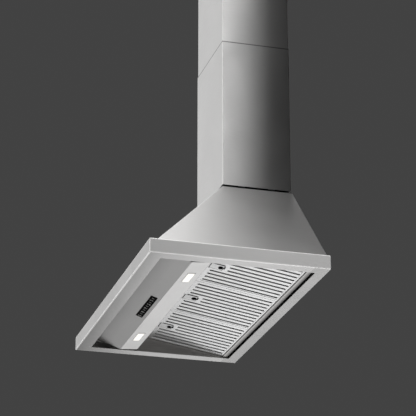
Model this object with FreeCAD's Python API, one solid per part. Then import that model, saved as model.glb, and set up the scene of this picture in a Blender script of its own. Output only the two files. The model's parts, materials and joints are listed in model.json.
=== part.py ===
import FreeCAD, Part
import os
from math import acos, atan2, cos, degrees, dist, hypot, pi, sin, tan

# Canopy range hood that hangs on a wall, in millimetres.
# X runs along the wall, +Y points into the wall, +Z points up. The origin is on the wall face,
# half way along the hood and level with the underside of its rim.

V = FreeCAD.Vector
AXIS = {"X": V(1, 0, 0), "Y": V(0, 1, 0), "Z": V(0, 0, 1)}
SIDES = {"left": -1, "right": 1}

# Overall sizes
WIDTH = 900.0               # rim, side to side
DEPTH = 500.0               # wall to the front of the rim
RIM_HEIGHT = 40.0
CANOPY_TOP = 338.0          # top edge of the sloping shell
CHIMNEY_WIDTH = 270.0
CHIMNEY_DEPTH = 208.0       # wall to the front of the chimney
SEAM_HEIGHT = 797.0         # top edge of the lower chimney
TOTAL_HEIGHT = 1120.0       # top edge of the upper chimney as hung

# Sheet metal
SHEET = 1.0                 # stainless sheet of all folded pieces
BEND = 1.0                  # inside radius of a fold
OVERRUN = 5.0               # how far a cutting shape runs past a face
SEAT = 0.3                  # clearance between pieces that move on each other
FIT = 0.1                   # clearance all round between pieces that stay put
RUNNING = 0.05              # radial clearance of a shaft or pin in its bore
SNAP = 0.001                # shortest edge that is drawn

# Rim frame and canopy
LEDGE = 20.0                # flat top of the rim, outside the sloping shell
FLANGE = 40.0               # underside return at the front and the sides
REAR_FLANGE = 31.0          # underside return at the wall
WALL_HOLE_RADIUS = 4.0
UPPER_HOLE_X = 150.0
UPPER_HOLE_Z = 250.0
LOWER_HOLE_INSET = 120.0    # side of the rim to the lower holes
LOWER_HOLE_Z = 90.0

# Top plate of the canopy and its neck
NECK_INSET = 8.0            # from the outside of the chimney to the neck
NECK_HEIGHT = 30.0
SHADOW_GAP = 5.0            # open joint between the canopy and the chimney
CLIP_WIDTH = 20.0
CLIP_LEG = 12.0
CLIP_RISE = 3.0
CLIP_Y = (-60.0, -150.0)

# Chimney
CHIMNEY_BACK_GAP = 4.0      # from the wall to the folded back edges
CHIMNEY_RETURN = 16.0
SLIDE_GAP = 0.5             # between the two telescoping sections
SECTION_OVERLAP = 97.0      # how far the upper section stands inside the lower one
BRACKET_SHEET = 2.0
BRACKET_WIDTH = 24.0
BRACKET_DROP = 12.0         # below the top edge of the upper section
BRACKET_HALF_BACK = 114.0
BRACKET_STEP = 12.0
BRACKET_LEG = 22.0
BRACKET_HOLE_X = 80.0
BRACKET_HOLE_RADIUS = 3.0

# Control and lamp housing, a V fold across the front bay
RIDGE_SETBACK = 128.0       # front of the rim to the ridge of the V
PANEL_RISE = 38.0           # how far the control panel climbs to the front
PANEL_RUN = 113.4
LAMP_STRIP = 52.0           # ridge to the back edge of the lamp strip
LAMP_STRIP_RISE = 3.5
HOUSING_FLANGE = 10.0
HOUSING_END_GAP = 7.0       # rim opening to the end of the housing
HOUSING_BACK_RUN = 28.0     # back edge of the lamp strip to the cross rail
HOUSING_BACK_TOP = 48.0     # where the sloping back turns upright
HOUSING_TAB = 7.0

# Cross rail that the filters latch into
RAIL_DEPTH = 14.0
RAIL_TOP = 57.0
RAIL_BOTTOM = 46.0
LINER_GAP = 1.0             # rim opening to the side liners
LINER_TOP_GAP = 0.5
LINER_FOOT = 26.0
LINER_FRONT_SETBACK = 182.0

# Ledge behind the filters
LEDGE_FRONT = 52.0          # wall to the front edge of the filter ledge
LEDGE_BACK = 35.0
LEDGE_TOP = 5.2
LEDGE_WALL_TOP = 44.0
LEDGE_TAB = 10.0

# Baffle filters
FILTERS = ("left", "middle", "right")
FILTER_SIDE_CLEARANCE = 1.2
FILTER_SPACING = 2.0
FILTER_FRONT_GAP = 3.0      # cross rail to the filter
FILTER_FRONT_HEIGHT = 45.6  # underside of a filter at its front edge
FILTER_REACH = 5.0          # how far a filter lies over its ledge
FILTER_THICKNESS = 12.0
FILTER_SHEET = 0.8
FILTER_BORDER = 10.0
SLOT_PITCH = 25.2
SLOT_WIDTH = 10.4
SLOT_MARGIN = 3.6           # frame border to the front ends of the slots
SLOT_REAR_MARGIN = 1.2
SLOT_SIDE_MARGIN = 6.0
BAFFLE_LIP = 4.8

# Filter latches
LATCH_HALF_WIDTH = 18.5
LATCH_FRONT = 4.0           # filter front edge to the latch plate
LATCH_LENGTH = 39.0
LATCH_OUTLINE = 1.0         # open line round the latch plate
LATCH_TRAVEL = 7.0
LATCH_SHEET = 0.8
BOLT_HALF_WIDTH = 9.0
BOLT_LEVEL = 5.0            # filter underside to the underside of the bolt
BOLT_REACH = 6.0            # how far the bolt stands out of the filter
BOLT_PLAY = 0.8             # bolt slots in the rail: beside, below and above the bolt
BOLT_PLAY_BELOW = 1.2
BOLT_PLAY_ABOVE = 2.0
GRIP_WIDTH = 17.0
GRIP_DEPTH = 10.0
GRIP_WALL = 1.2
GRIP_RIM = 1.5
GRIP_RIM_THICKNESS = 0.6
GRIP_BACK = 8.5             # rear edge of the latch plate to the middle of the grip
GRIP_HEIGHT = 6.0
GRIP_EAR = 4.5
GRIP_EAR_THICKNESS = 1.2
GRIP_EAR_DEPTH = 5.0
SHORT_SLOT_MARGIN = 7.0     # drawn latch to the short slots

# Push buttons
BUTTONS = ("light", "off", "low", "medium", "high")
BEZEL_WIDTH = 178.0
BEZEL_DEPTH = 20.0
BEZEL_CORNER = 2.0
BEZEL_FACE = 1.0            # thickness proud of the panel
BEZEL_LIP = 2.5
BEZEL_BODY = 7.0
BEZEL_RIB = 1.8             # end ribs that carry the switch board
BEZEL_SETBACK = 20.0        # ridge to the middle of the bezel, along the panel
BEZEL_X = -10.0             # the bezel sits a little left of the middle
BUTTON_PITCH = 34.5
BUTTON_WIDTH = 30.5
BUTTON_DEPTH = 10.0
BUTTON_PROUD = 0.6
BUTTON_EDGE = 0.3
BUTTON_TAB = 1.2
BUTTON_TRAVEL = 1.0
BUTTON_STEM = 2.5
BUTTON_STEM_RADIUS = 2.0
SWITCH_SIZE = 6.0
SWITCH_HEIGHT = 3.6         # board to the tip of a plunger
SWITCH_BODY = 2.4
SWITCH_PLAY = 0.2
BOARD = 1.6
BOARD_MARGIN = 2.0

# Lamps
LAMP_INSET = 127.0          # end of the housing to the middle of a lamp
LAMP_SETBACK = 25.0        # ridge to the middle of a lamp, along the strip
LAMP_WIDTH = 68.0
LAMP_DEPTH = 18.0
LAMP_LIP = 3.0
LAMP_LIP_THICKNESS = 0.8
LAMP_WALL = 1.0
LAMP_SKIRT = 6.0
LENS_THICKNESS = 2.4
LENS_PROUD = 0.2
LENS_EDGE = 0.4
SINK_BASE = 4.0
SINK_HEIGHT = 16.0
SINK_FIN = 2.0
SINK_PITCH = 6.0

# Blower
WHEEL_RADIUS = 76.0
WHEEL_HALF_WIDTH = 59.0
BLADE_INNER_RADIUS = 64.0
BLADES = 32
BLADE_CURVE = 10.0          # radius of a blade's curve
BLADE_CURVE_CENTRE = 68.0   # shaft to the centre of that curve
BLADE_THICKNESS = 1.0
WHEEL_RING = 1.5            # thickness of the end rings
WHEEL_RING_WIDTH = 6.0
WHEEL_DISC = 2.0
HUB_RADIUS = 13.0
HUB_LENGTH = 14.0
SHAFT_RADIUS = 4.0
SCROLL_STEP = 12.0          # growth of the scroll in each quarter turn
SCROLL_GAP = 8.0            # wheel to the scroll at its narrowest
SCROLL_HALF_WIDTH = 70.0
CASING_WALL = 2.5
TONGUE_OFFSET = 30.0        # shaft to the tongue, measured forward
TONGUE_RADIUS = 3.0
SCROLL_DROP = 146.0         # top of the canopy to the shaft
OUTLET_Y = -104.0
INLET_RADIUS = 66.0
INLET_LIP = 4.0
CASING_LIP = 7.0
CASING_LIP_THICKNESS = 2.5
CASING_FLANGE = 14.0
CASING_FLANGE_THICKNESS = 3.0
OUTLET_SCREW_DROP = 24.0    # top of the canopy to the joint screws beside the outlet

# Motor
MOTOR_RADIUS = 44.0
MOTOR_START = 12.0
MOTOR_LENGTH = 66.0
MOTOR_END_RADIUS = 30.0
MOTOR_END_STEP = 5.0
MOTOR_EDGE = 2.5
SHAFT_GAP = 0.5             # round the shaft in the motor and in the arms
SHAFT_CHAMFER = 1.0
SHAFT_STUB = 3.0            # how far the shaft stands out of the hub and short of the arms
BEARING_RADIUS = 11.0
BEARING_WIDTH = 7.0
MOUNT_CIRCLE = 78.0
MOUNT_RADIUS = 6.0
SPIDER_SHEET = 2.0
SPIDER_HUB_RADIUS = 26.0
SPIDER_ARM_WIDTH = 14.0
SPIDER_ARMS = 3

# Duct outlet and non-return flaps
COLLAR_RADIUS = 75.0
COLLAR_WALL = 1.2
COLLAR_HEIGHT = 60.0
COLLAR_FLANGE_HALF = 82.0
COLLAR_FLANGE = 1.5
COLLAR_BEAD = 5.0
COLLAR_SCREW = 76.0         # outlet centre to each flange screw, along X and along Y
FLAP_LEVEL = 26.0           # top plate to the flap pin
FLAP_THICKNESS = 1.0
FLAP_CLEARANCE = 1.3
PIN_RADIUS = 1.5
KNUCKLE_WALL = 1.4
KNUCKLE_ENDS = (0.0, 26.0, 52.0)   # where the knuckles change, from the middle
KNUCKLE_GAP = 0.5

# Electrical box
BOX_X = 182.0
BOX_WIDTH = 108.0
BOX_DEPTH = 42.0
BOX_BOTTOM = 95.0
BOX_HEIGHT = 66.0
BOX_WALL = 2.0
BOX_POST = 6.0
BOARD_STANDOFF = 6.0
RELAY_WIDTH = 11.0
RELAY_HEIGHT = 16.0
RELAY_DEPTH = 12.0
RELAY_PITCH = 15.5
TERMINAL_HEIGHT = 12.0
TERMINAL_DEPTH = 9.0
CAPACITOR_RADIUS = 8.5
CAPACITOR_LENGTH = 20.0
GLAND_Y = -56.0
GLAND_RADIUS = 7.0
GLAND_NUT_RADIUS = 10.0
GLAND_NUT = 5.0
GLAND_HEIGHT = 14.0
GLAND_BORE = 4.0            # grips the cable
GLAND_WIDE_BORE = 5.0       # below the grip
GLAND_GRIP = 12.0           # length of the narrow bore, from the top
GLAND_TAIL = 6.0            # thread below the top plate
GLAND_EDGE = 2.0

# Fasteners
SCREW_RADIUS = 2.0
SCREW_HEAD_RADIUS = 4.0
SCREW_HEAD = 2.4
SCREW_LENGTH = 12.0         # under the head
CASE_SCREW_RADIUS = 1.5
CASE_SCREW_HEAD_RADIUS = 3.0
CASE_SCREW_HEAD = 2.0
CASE_SCREW_LENGTH = 8.0
MOUNT_SCREW_LENGTH = 13.5
HOUSING_SCREW_INSET = 11.0  # end of the housing to its outer screws
HOUSING_SCREW_Z = 51.0

# Derived places
half_width = WIDTH / 2
opening_half = half_width - FLANGE
side_slope = (half_width - LEDGE - CHIMNEY_WIDTH / 2) / (CANOPY_TOP - RIM_HEIGHT)
front_slope = (DEPTH - LEDGE - CHIMNEY_DEPTH) / (CANOPY_TOP - RIM_HEIGHT)
side_foot = SHEET * hypot(1, side_slope)
front_foot = SHEET * hypot(1, front_slope)
plate_top = CANOPY_TOP + SHEET
chimney_bottom = plate_top + SHADOW_GAP

ridge_y = RIDGE_SETBACK - DEPTH
panel_front_y = ridge_y - PANEL_RUN
strip_back_y = ridge_y + LAMP_STRIP
panel_tilt = degrees(atan2(PANEL_RISE, PANEL_RUN))
strip_tilt = degrees(atan2(LAMP_STRIP_RISE, LAMP_STRIP))
housing_half = opening_half - HOUSING_END_GAP
lamp_x = housing_half - LAMP_INSET

filter_width = (2 * (opening_half - FILTER_SIDE_CLEARANCE) - 2 * FILTER_SPACING) / len(FILTERS)
filter_pitch = filter_width + FILTER_SPACING
filter_rear_y = FILTER_REACH - LEDGE_FRONT
filter_rear_z = LEDGE_TOP + SEAT
rail_back_y = strip_back_y + HOUSING_BACK_RUN
filter_front_y = rail_back_y + FILTER_FRONT_GAP
filter_length = hypot(filter_rear_y - filter_front_y, FILTER_FRONT_HEIGHT - filter_rear_z)
filter_tilt = degrees(atan2(FILTER_FRONT_HEIGHT - filter_rear_z, filter_rear_y - filter_front_y))
slot_start = FILTER_BORDER + SLOT_MARGIN
slot_end = filter_length - FILTER_BORDER - SLOT_REAR_MARGIN
short_slot_start = LATCH_FRONT + LATCH_LENGTH + LATCH_TRAVEL + SHORT_SLOT_MARGIN
grip_v = LATCH_FRONT + LATCH_LENGTH - GRIP_BACK

shaft_z = CANOPY_TOP - SCROLL_DROP
scroll_radius = WHEEL_RADIUS + SCROLL_GAP + SCROLL_STEP / 2
outlet_front = OUTLET_Y - COLLAR_RADIUS
shaft_y = outlet_front + TONGUE_OFFSET
outlet_rear = shaft_y + SCROLL_STEP / 2 + scroll_radius + 2 * SCROLL_STEP
motor_end = MOTOR_START + MOTOR_LENGTH
flap_z = plate_top + FLAP_LEVEL
gland_x = (COLLAR_FLANGE_HALF + CHIMNEY_WIDTH / 2 - NECK_INSET - SHEET) / 2


def lift(axis, point, at):
    """Place a point of a flat outline in the plane that lies square to an axis."""
    a, b = point
    return {"X": V(at, a, b), "Y": V(a, at, b), "Z": V(a, b, at)}[axis]


def rounded(corners, radii):
    """Closed wire through the corners, each rounded by its own radius."""
    count = len(corners)
    turns = []
    for i, corner in enumerate(corners):
        before = (corners[i - 1] - corner).normalize()
        after = (corners[(i + 1) % count] - corner).normalize()
        half = before.getAngle(after) / 2
        radius = radii[i]
        reach = radius / tan(half)
        middle = corner + (before + after).normalize() * (radius / sin(half) - radius) if radius else corner
        turns.append((corner + before * reach, middle, corner + after * reach))
    edges = []
    for i, (first, middle, last) in enumerate(turns):
        following = turns[(i + 1) % count][0]
        if radii[i]:
            edges.append(Part.Arc(first, middle, last).toShape())
        if (following - last).Length > SNAP:
            edges.append(Part.makeLine(last, following))
    return Part.Wire(edges)


def profile(axis, corners, radii, start, stop):
    """Solid with a flat outline, drawn square to an axis and pushed along it."""
    if not isinstance(radii, (list, tuple)):
        radii = [radii] * len(corners)
    wire = rounded([lift(axis, corner, start) for corner in corners], radii)
    return Part.Face(wire).extrude(AXIS[axis] * (stop - start))


def folded(axis, path, sheet, bend, start, stop):
    """Folded sheet: the path is its one face, and the sheet lies to the path's left."""
    right, left, right_radii, left_radii = [], [], [], []
    headings = []
    for (a0, b0), (a1, b1) in zip(path, path[1:]):
        run = hypot(a1 - a0, b1 - b0)
        headings.append(((a1 - a0) / run, (b1 - b0) / run))
    for i, (a, b) in enumerate(path):
        d0 = headings[max(i - 1, 0)]
        d1 = headings[min(i, len(headings) - 1)]
        share = 1 / (1 + d0[0] * d1[0] + d0[1] * d1[1])
        right.append((a, b))
        left.append((a - sheet * share * (d0[1] + d1[1]), b + sheet * share * (d0[0] + d1[0])))
        turn = d0[0] * d1[1] - d0[1] * d1[0]
        inner, outer = (bend, bend + sheet) if turn else (0, 0)
        right_radii.append(outer if turn > 0 else inner)
        left_radii.append(inner if turn > 0 else outer)
    return profile(axis, right + left[::-1], right_radii + left_radii[::-1], start, stop)


def box(x0, x1, y0, y1, z0, z1):
    return Part.makeBox(x1 - x0, y1 - y0, z1 - z0, V(x0, y0, z0))


def slab(half_x, half_y, z0, z1, corner=0.0):
    """Block centred on the origin in X and Y, with rounded upright edges."""
    corners = [(-half_x, -half_y), (half_x, -half_y), (half_x, half_y), (-half_x, half_y)]
    return profile("Z", corners, corner, z0, z1)


def rod(axis, place, start, stop, radius):
    """Cylinder along an axis between two levels, through a place."""
    direction = AXIS[axis]
    base = V(*place) - direction * V(*place).dot(direction) + direction * start
    return Part.makeCylinder(radius, stop - start, base, direction)


def ring(axis, place, start, stop, outer, inner):
    bore = rod(axis, place, start - OVERRUN, stop + OVERRUN, inner)
    return rod(axis, place, start, stop, outer).cut(bore)


def joined(shapes):
    """One solid from touching shapes, with the seams between them removed."""
    return shapes[0].fuse(shapes[1:]).removeSplitter()


def seated(shape, place, angle):
    """Copy of a shape turned about X and moved from the origin to its place."""
    copy = shape.copy()
    copy.rotate(V(0, 0, 0), AXIS["X"], angle)
    copy.translate(V(*place))
    return copy


def mirrored(shape):
    return shape.mirror(V(0, 0, 0), AXIS["X"])


def save(node, shapes):
    """Write one sub-part; a group of like pieces is written as separate solids."""
    shape = Part.makeCompound(shapes) if isinstance(shapes, list) else shapes
    solids = shape.Solids
    assert solids and all(solid.isValid() for solid in solids), node
    result = solids[0] if len(solids) == 1 else Part.makeCompound(solids)
    result.exportStep(f"parts/{node}.step")
    print(f"{node}: {len(solids)} solid(s), {sum(s.Volume for s in solids):.0f} mm3")


def screw(axis, place, under_head, way, length, radius, head_radius, head):
    """Pan-head screw whose shank runs from under its head one way along an axis."""
    tip, top = under_head + way * length, under_head - way * head
    shank = rod(axis, place, min(under_head, tip), max(under_head, tip), radius)
    cap = rod(axis, place, min(under_head, top), max(under_head, top), head_radius)
    rim = [edge for edge in cap.Edges if abs(edge.CenterOfMass.dot(AXIS[axis]) - top) < head / 2
           and edge.Curve.TypeId == "Part::GeomCircle"]
    return joined([cap.makeFillet(head / 2, rim), shank])


# Rim, canopy and back

def rim_frame():
    """Box-section rim with returns above and below, open over the whole middle."""
    def shell(inset, radius):
        block = box(inset - half_width, half_width - inset, inset - DEPTH, -SHEET - inset,
                    inset, RIM_HEIGHT - inset)
        front = [edge for edge in block.Edges if edge.CenterOfMass.y < -SHEET - inset - radius]
        return block.makeFillet(radius, front)
    ring_shape = shell(0, BEND + SHEET).cut(shell(SHEET, BEND))
    below = box(-opening_half, opening_half, FLANGE - DEPTH, -REAR_FLANGE, -OVERRUN, RIM_HEIGHT / 2)
    across = half_width - LEDGE - side_foot
    above = box(-across, across, LEDGE + front_foot - DEPTH, -2 * SHEET,
                RIM_HEIGHT / 2, RIM_HEIGHT + OVERRUN)
    return ring_shape.cut(below).cut(above)


def canopy_level(z, inset=0.0, rear=-SHEET):
    """Outline of the canopy at a height, drawn in by so many sheet thicknesses."""
    x = CHIMNEY_WIDTH / 2 + (CANOPY_TOP - z) * side_slope - inset * side_foot
    y = CHIMNEY_DEPTH + (CANOPY_TOP - z) * front_slope - inset * front_foot
    corners = [V(-x, rear, z), V(-x, -y, z), V(x, -y, z), V(x, rear, z)]
    return Part.makePolygon(corners + corners[:1])


def canopy_shell():
    """Three sloping walls that meet at crisp hips, open at the wall, the top and below."""
    outer = Part.makeLoft([canopy_level(RIM_HEIGHT), canopy_level(CANOPY_TOP)], True, True)
    levels = (RIM_HEIGHT - OVERRUN, CANOPY_TOP + OVERRUN)
    inner = Part.makeLoft([canopy_level(z, 1, OVERRUN) for z in levels], True, True)

    def hips(block):
        return [edge for edge in block.Edges
                if edge.BoundBox.ZLength > CANOPY_TOP / 2 and edge.CenterOfMass.y < -CHIMNEY_DEPTH]
    outer = outer.makeFillet(BEND + SHEET, hips(outer))
    inner = inner.makeFillet(BEND, hips(inner))
    return outer.cut(inner)


def wall_holes():
    return ([(side * UPPER_HOLE_X, UPPER_HOLE_Z) for side in SIDES.values()]
            + [(side * (half_width - LOWER_HOLE_INSET), LOWER_HOLE_Z) for side in SIDES.values()])


def back_panel():
    """Flat sheet that closes the hood at the wall, with the four hanging holes."""
    foot, top = half_width - LEDGE, CHIMNEY_WIDTH / 2
    right = [(half_width, 0), (half_width, RIM_HEIGHT), (foot, RIM_HEIGHT), (top, CANOPY_TOP)]
    left = [(-x, z) for x, z in reversed(right)]
    corner = BEND + SHEET
    sheet = profile("Y", right + left, [corner, corner, 0, 0, 0, 0, corner, corner], -SHEET, 0)
    for x, z in wall_holes():
        sheet = sheet.cut(rod("Y", (x, 0, z), -OVERRUN, OVERRUN, WALL_HOLE_RADIUS))
    return sheet


def collar_screws_at():
    return [(i * COLLAR_SCREW, OUTLET_Y + j * COLLAR_SCREW) for i in (-1, 1) for j in (-1, 1)]


def top_plate():
    """Lid of the canopy with the recessed neck that carries the chimney."""
    half, depth = CHIMNEY_WIDTH / 2, CHIMNEY_DEPTH
    plate = box(-half, half, -depth, 0, CANOPY_TOP, plate_top)
    middle = -(depth / 2)
    walls = [slab(half - inset, depth / 2 - inset, CANOPY_TOP + SHEET / 2, plate_top + NECK_HEIGHT,
                  BEND + NECK_INSET + SHEET - inset) for inset in (NECK_INSET, NECK_INSET + SHEET)]
    neck = walls[0].cut(walls[1])
    neck.translate(V(0, middle, 0))
    lid = joined([plate, neck])
    holes = [((0, OUTLET_Y), COLLAR_RADIUS - COLLAR_WALL), ((gland_x, GLAND_Y), GLAND_RADIUS + FIT)]
    holes += [(place, SCREW_RADIUS + FIT) for place in collar_screws_at()]
    for (x, y), radius in holes:
        lid = lid.cut(rod("Z", (x, y, 0), CANOPY_TOP - OVERRUN, plate_top + OVERRUN, radius))
    return lid


def chimney_clips():
    """Spring clips, two a side, that centre the chimney on the neck."""
    neck, wall = CHIMNEY_WIDTH / 2 - NECK_INSET, CHIMNEY_WIDTH / 2 - SHEET
    low = plate_top + NECK_HEIGHT - CLIP_LEG
    root = neck + SHEET
    path = [(root, low - CLIP_LEG), (root, low - CLIP_RISE), (wall, low), (wall, low + CLIP_LEG)]
    clips = []
    for y in CLIP_Y:
        clip = folded("Y", path, SHEET, BEND, y - CLIP_WIDTH / 2, y + CLIP_WIDTH / 2)
        clips += [clip, mirrored(clip)]
    return clips


# Side liners, filter ledge and cross rail

def side_liner(side):
    """Angle that closes the side of the filter bay, from the rim up to the canopy."""
    inner = opening_half + LINER_GAP
    top = CANOPY_TOP - (inner + SHEET + side_foot - CHIMNEY_WIDTH / 2) / side_slope - LINER_TOP_GAP
    path = [(inner, top), (inner, SHEET), (inner + LINER_FOOT, SHEET)]
    liner = folded("Y", path, SHEET, BEND, LINER_FRONT_SETBACK - DEPTH, -2 * SHEET)
    return liner if side > 0 else mirrored(liner)


def filter_ledge():
    """Ledge along the wall that carries the rear edges of the filters."""
    half = opening_half + LINER_GAP - FIT
    shelf = LEDGE_TOP - SHEET
    path = [(-LEDGE_FRONT, shelf), (-LEDGE_BACK, shelf), (-LEDGE_BACK, LEDGE_WALL_TOP),
            (-SHEET, LEDGE_WALL_TOP), (-SHEET, LEDGE_WALL_TOP + LEDGE_TAB)]
    return folded("X", path, SHEET, BEND, -half, half)


def bolt_slots(shape):
    """Cut the three slots that the filter latches shoot into."""
    level = FILTER_FRONT_HEIGHT + BOLT_LEVEL + LATCH_SHEET
    half_x = BOLT_HALF_WIDTH + BOLT_PLAY
    for name in FILTERS:
        x = filter_x(name)
        shape = shape.cut(box(x - half_x, x + half_x, rail_back_y - OVERRUN, rail_back_y + SHEET,
                              level - BOLT_PLAY_BELOW, level + BOLT_PLAY_ABOVE))
    return shape


def filter_rail():
    """Cross rail behind the lamps: the keeper of the filter latches."""
    half = opening_half + LINER_GAP - FIT
    path = [(rail_back_y, RAIL_BOTTOM), (rail_back_y, RAIL_TOP), (rail_back_y - RAIL_DEPTH, RAIL_TOP)]
    return housing_screw_holes(bolt_slots(folded("X", path, SHEET, BEND, -half, half)))


def housing_screws_at():
    """Two screws between the filters and two near the ends of the housing."""
    places = (filter_pitch / 2, housing_half - HOUSING_SCREW_INSET)
    return [(side * x, 0, HOUSING_SCREW_Z) for side in SIDES.values() for x in places]


def housing_screw_holes(shape):
    for place in housing_screws_at():
        hole = rod("Y", place, rail_back_y - OVERRUN, rail_back_y + OVERRUN, CASE_SCREW_RADIUS + FIT)
        shape = shape.cut(hole)
    return shape


# Control and lamp housing

def on_panel(x, distance):
    """Place on the control panel's face, so far from the ridge towards the front."""
    share = distance / hypot(PANEL_RUN, PANEL_RISE)
    return (x, ridge_y - share * PANEL_RUN, share * PANEL_RISE)


def on_strip(x, distance):
    share = distance / hypot(LAMP_STRIP, LAMP_STRIP_RISE)
    return (x, ridge_y + share * LAMP_STRIP, share * LAMP_STRIP_RISE)


def on_control_panel(shape):
    """Seat a shape, drawn with its face up, on the underside of the control panel."""
    return seated(shape, on_panel(BEZEL_X, BEZEL_SETBACK), 180 - panel_tilt)


def on_lamp_strip(shape, side):
    return seated(shape, on_strip(side * lamp_x, LAMP_SETBACK), 180 + strip_tilt)


def control_housing():
    """V-folded housing with welded ends: control panel, ridge, lamp strip and sloping back."""
    back_y = rail_back_y - SHEET
    outline = [(panel_front_y, PANEL_RISE), (ridge_y, 0), (strip_back_y, LAMP_STRIP_RISE),
               (back_y, HOUSING_BACK_TOP)]
    flange = (panel_front_y - HOUSING_FLANGE, PANEL_RISE)
    tab = (back_y, HOUSING_BACK_TOP + HOUSING_TAB)
    sheet = folded("X", [flange] + outline + [tab], SHEET, BEND, -housing_half, housing_half)
    outer = BEND + SHEET
    ends = [profile("X", outline, [0, outer, outer, 0], x, x + SHEET)
            for x in (-housing_half, housing_half - SHEET)]
    shell = bolt_slots(joined([sheet] + ends))
    half_x, half_y = bezel_body()
    bezel_hole = slab(half_x + FIT, half_y + FIT, -OVERRUN, OVERRUN)
    shell = shell.cut(on_control_panel(bezel_hole))
    lamp_hole = slab(LAMP_WIDTH / 2 + LAMP_WALL + FIT, LAMP_DEPTH / 2 + LAMP_WALL + FIT, -OVERRUN, OVERRUN)
    for side in SIDES.values():
        shell = shell.cut(on_lamp_strip(lamp_hole, side))
    return housing_screw_holes(shell)


# Push buttons: drawn face up, then seated on the control panel

def button_x(name):
    return (BUTTONS.index(name) - (len(BUTTONS) - 1) / 2) * BUTTON_PITCH


def bezel_body():
    """Half width and half depth of the bezel where it passes through the panel."""
    return BEZEL_WIDTH / 2 - BEZEL_LIP, BEZEL_DEPTH / 2 - BEZEL_LIP


def button_bezel():
    """Black bezel with a window for each button and two end ribs for the switch board."""
    face = slab(BEZEL_WIDTH / 2, BEZEL_DEPTH / 2, 0, BEZEL_FACE, BEZEL_CORNER)
    half_x, half_y = bezel_body()
    body = slab(half_x, half_y, -BEZEL_BODY, 0)
    ribs = [box(x, x + BEZEL_RIB, -half_y, half_y, -board_level(), -BEZEL_BODY)
            for x in (-half_x, half_x - BEZEL_RIB)]
    bezel = joined([face, body] + ribs)
    window = slab(BUTTON_WIDTH / 2 + SEAT, BUTTON_DEPTH / 2 + SEAT, -BEZEL_BODY - OVERRUN, OVERRUN)
    for name in BUTTONS:
        opening = window.copy()
        opening.translate(V(button_x(name), 0, 0))
        bezel = bezel.cut(opening)
    return on_control_panel(bezel)


def button_levels():
    """Top of a cap, both faces of its tabs and the tip of its stem, from the panel's face."""
    tabs = -BEZEL_BODY - SEAT
    return BEZEL_FACE + BUTTON_PROUD, tabs, tabs - BUTTON_TAB, tabs - BUTTON_TAB - BUTTON_STEM


def board_level():
    """Depth of the switch board's near face behind the panel's face."""
    return -button_levels()[3] + BUTTON_TRAVEL + SWITCH_PLAY + SWITCH_HEIGHT


def push_button(name):
    """Cap with a soft edge, two tabs that keep it in its window, and a stem."""
    top, tabs_top, under, tip = button_levels()
    cap = slab(BUTTON_WIDTH / 2, BUTTON_DEPTH / 2, tabs_top, top)
    rim = [edge for edge in cap.Edges if edge.CenterOfMass.z > top - BUTTON_EDGE]
    cap = cap.makeFillet(BUTTON_EDGE, rim)
    tabs = slab(BUTTON_WIDTH / 2, BUTTON_DEPTH / 2 + BUTTON_TAB, under, tabs_top)
    stem = rod("Z", (0, 0, 0), tip, under, BUTTON_STEM_RADIUS)
    button = joined([cap, tabs, stem])
    button.translate(V(button_x(name), 0, 0))
    return on_control_panel(button)


def switch_board():
    """Circuit board with one tact switch behind each button."""
    near = -board_level()
    half_x, half_y = bezel_body()
    half = SWITCH_SIZE / 2
    pieces = [slab(half_x, half_y + BOARD_MARGIN, near - BOARD, near)]
    for name in BUTTONS:
        x = button_x(name)
        pieces.append(box(x - half, x + half, -half, half, near, near + SWITCH_BODY))
        pieces.append(rod("Z", (x, 0, 0), near, near + SWITCH_HEIGHT, BUTTON_STEM_RADIUS))
    return on_control_panel(joined(pieces))


# Lamps: drawn face up, then seated on the lamp strip

def lamp_frame(side):
    """Thin steel surround whose skirt passes through the strip."""
    half_x, half_y = LAMP_WIDTH / 2, LAMP_DEPTH / 2
    lip = slab(half_x + LAMP_LIP, half_y + LAMP_LIP, 0, LAMP_LIP_THICKNESS, BEND)
    skirt = slab(half_x + LAMP_WALL, half_y + LAMP_WALL, -LAMP_SKIRT, 0)
    window = slab(half_x, half_y, -LAMP_SKIRT - OVERRUN, OVERRUN)
    return on_lamp_strip(joined([lip, skirt]).cut(window), side)


def lamp_lens(side):
    """Frosted lens with a soft edge, just proud of its surround."""
    top = LAMP_LIP_THICKNESS + LENS_PROUD
    lens = slab(LAMP_WIDTH / 2 - FIT, LAMP_DEPTH / 2 - FIT, top - LENS_THICKNESS, top)
    rim = [edge for edge in lens.Edges if edge.CenterOfMass.z > top - LENS_EDGE]
    return on_lamp_strip(lens.makeFillet(LENS_EDGE, rim), side)


def lamp_heat_sink(side):
    """Finned block behind the lens that carries the light board and closes the skirt."""
    half_x, half_y = LAMP_WIDTH / 2, LAMP_DEPTH / 2
    top = -LAMP_SKIRT
    plug = slab(half_x - FIT, half_y - FIT, top, LAMP_LIP_THICKNESS + LENS_PROUD - LENS_THICKNESS - FIT)
    base = slab(half_x + LAMP_WALL, half_y + LAMP_WALL, top - SINK_BASE, top)
    fins = []
    count = int((2 * half_x - SINK_FIN) / SINK_PITCH) + 1
    for i in range(count):
        x = (i - (count - 1) / 2) * SINK_PITCH
        fins.append(box(x - SINK_FIN / 2, x + SINK_FIN / 2, -half_y, half_y,
                        top - SINK_HEIGHT, top - SINK_BASE))
    return on_lamp_strip(joined([plug, base] + fins), side)


# Baffle filters: drawn flat with the front edge at y = 0, then laid on the slope

def filter_x(name):
    return (FILTERS.index(name) - (len(FILTERS) - 1) / 2) * filter_pitch


def on_slope(shape, name):
    return seated(shape, (filter_x(name), filter_front_y, FILTER_FRONT_HEIGHT), -filter_tilt)


def slot_places(count):
    """Evenly spaced slot centres across a filter."""
    return [(i - (count - 1) / 2) * SLOT_PITCH for i in range(count)]


def front_slots():
    """How many slots fit between the borders."""
    room = filter_width - 2 * (FILTER_BORDER + SLOT_SIDE_MARGIN) - SLOT_WIDTH
    return int((room + SLOT_PITCH) / SLOT_PITCH)


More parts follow.
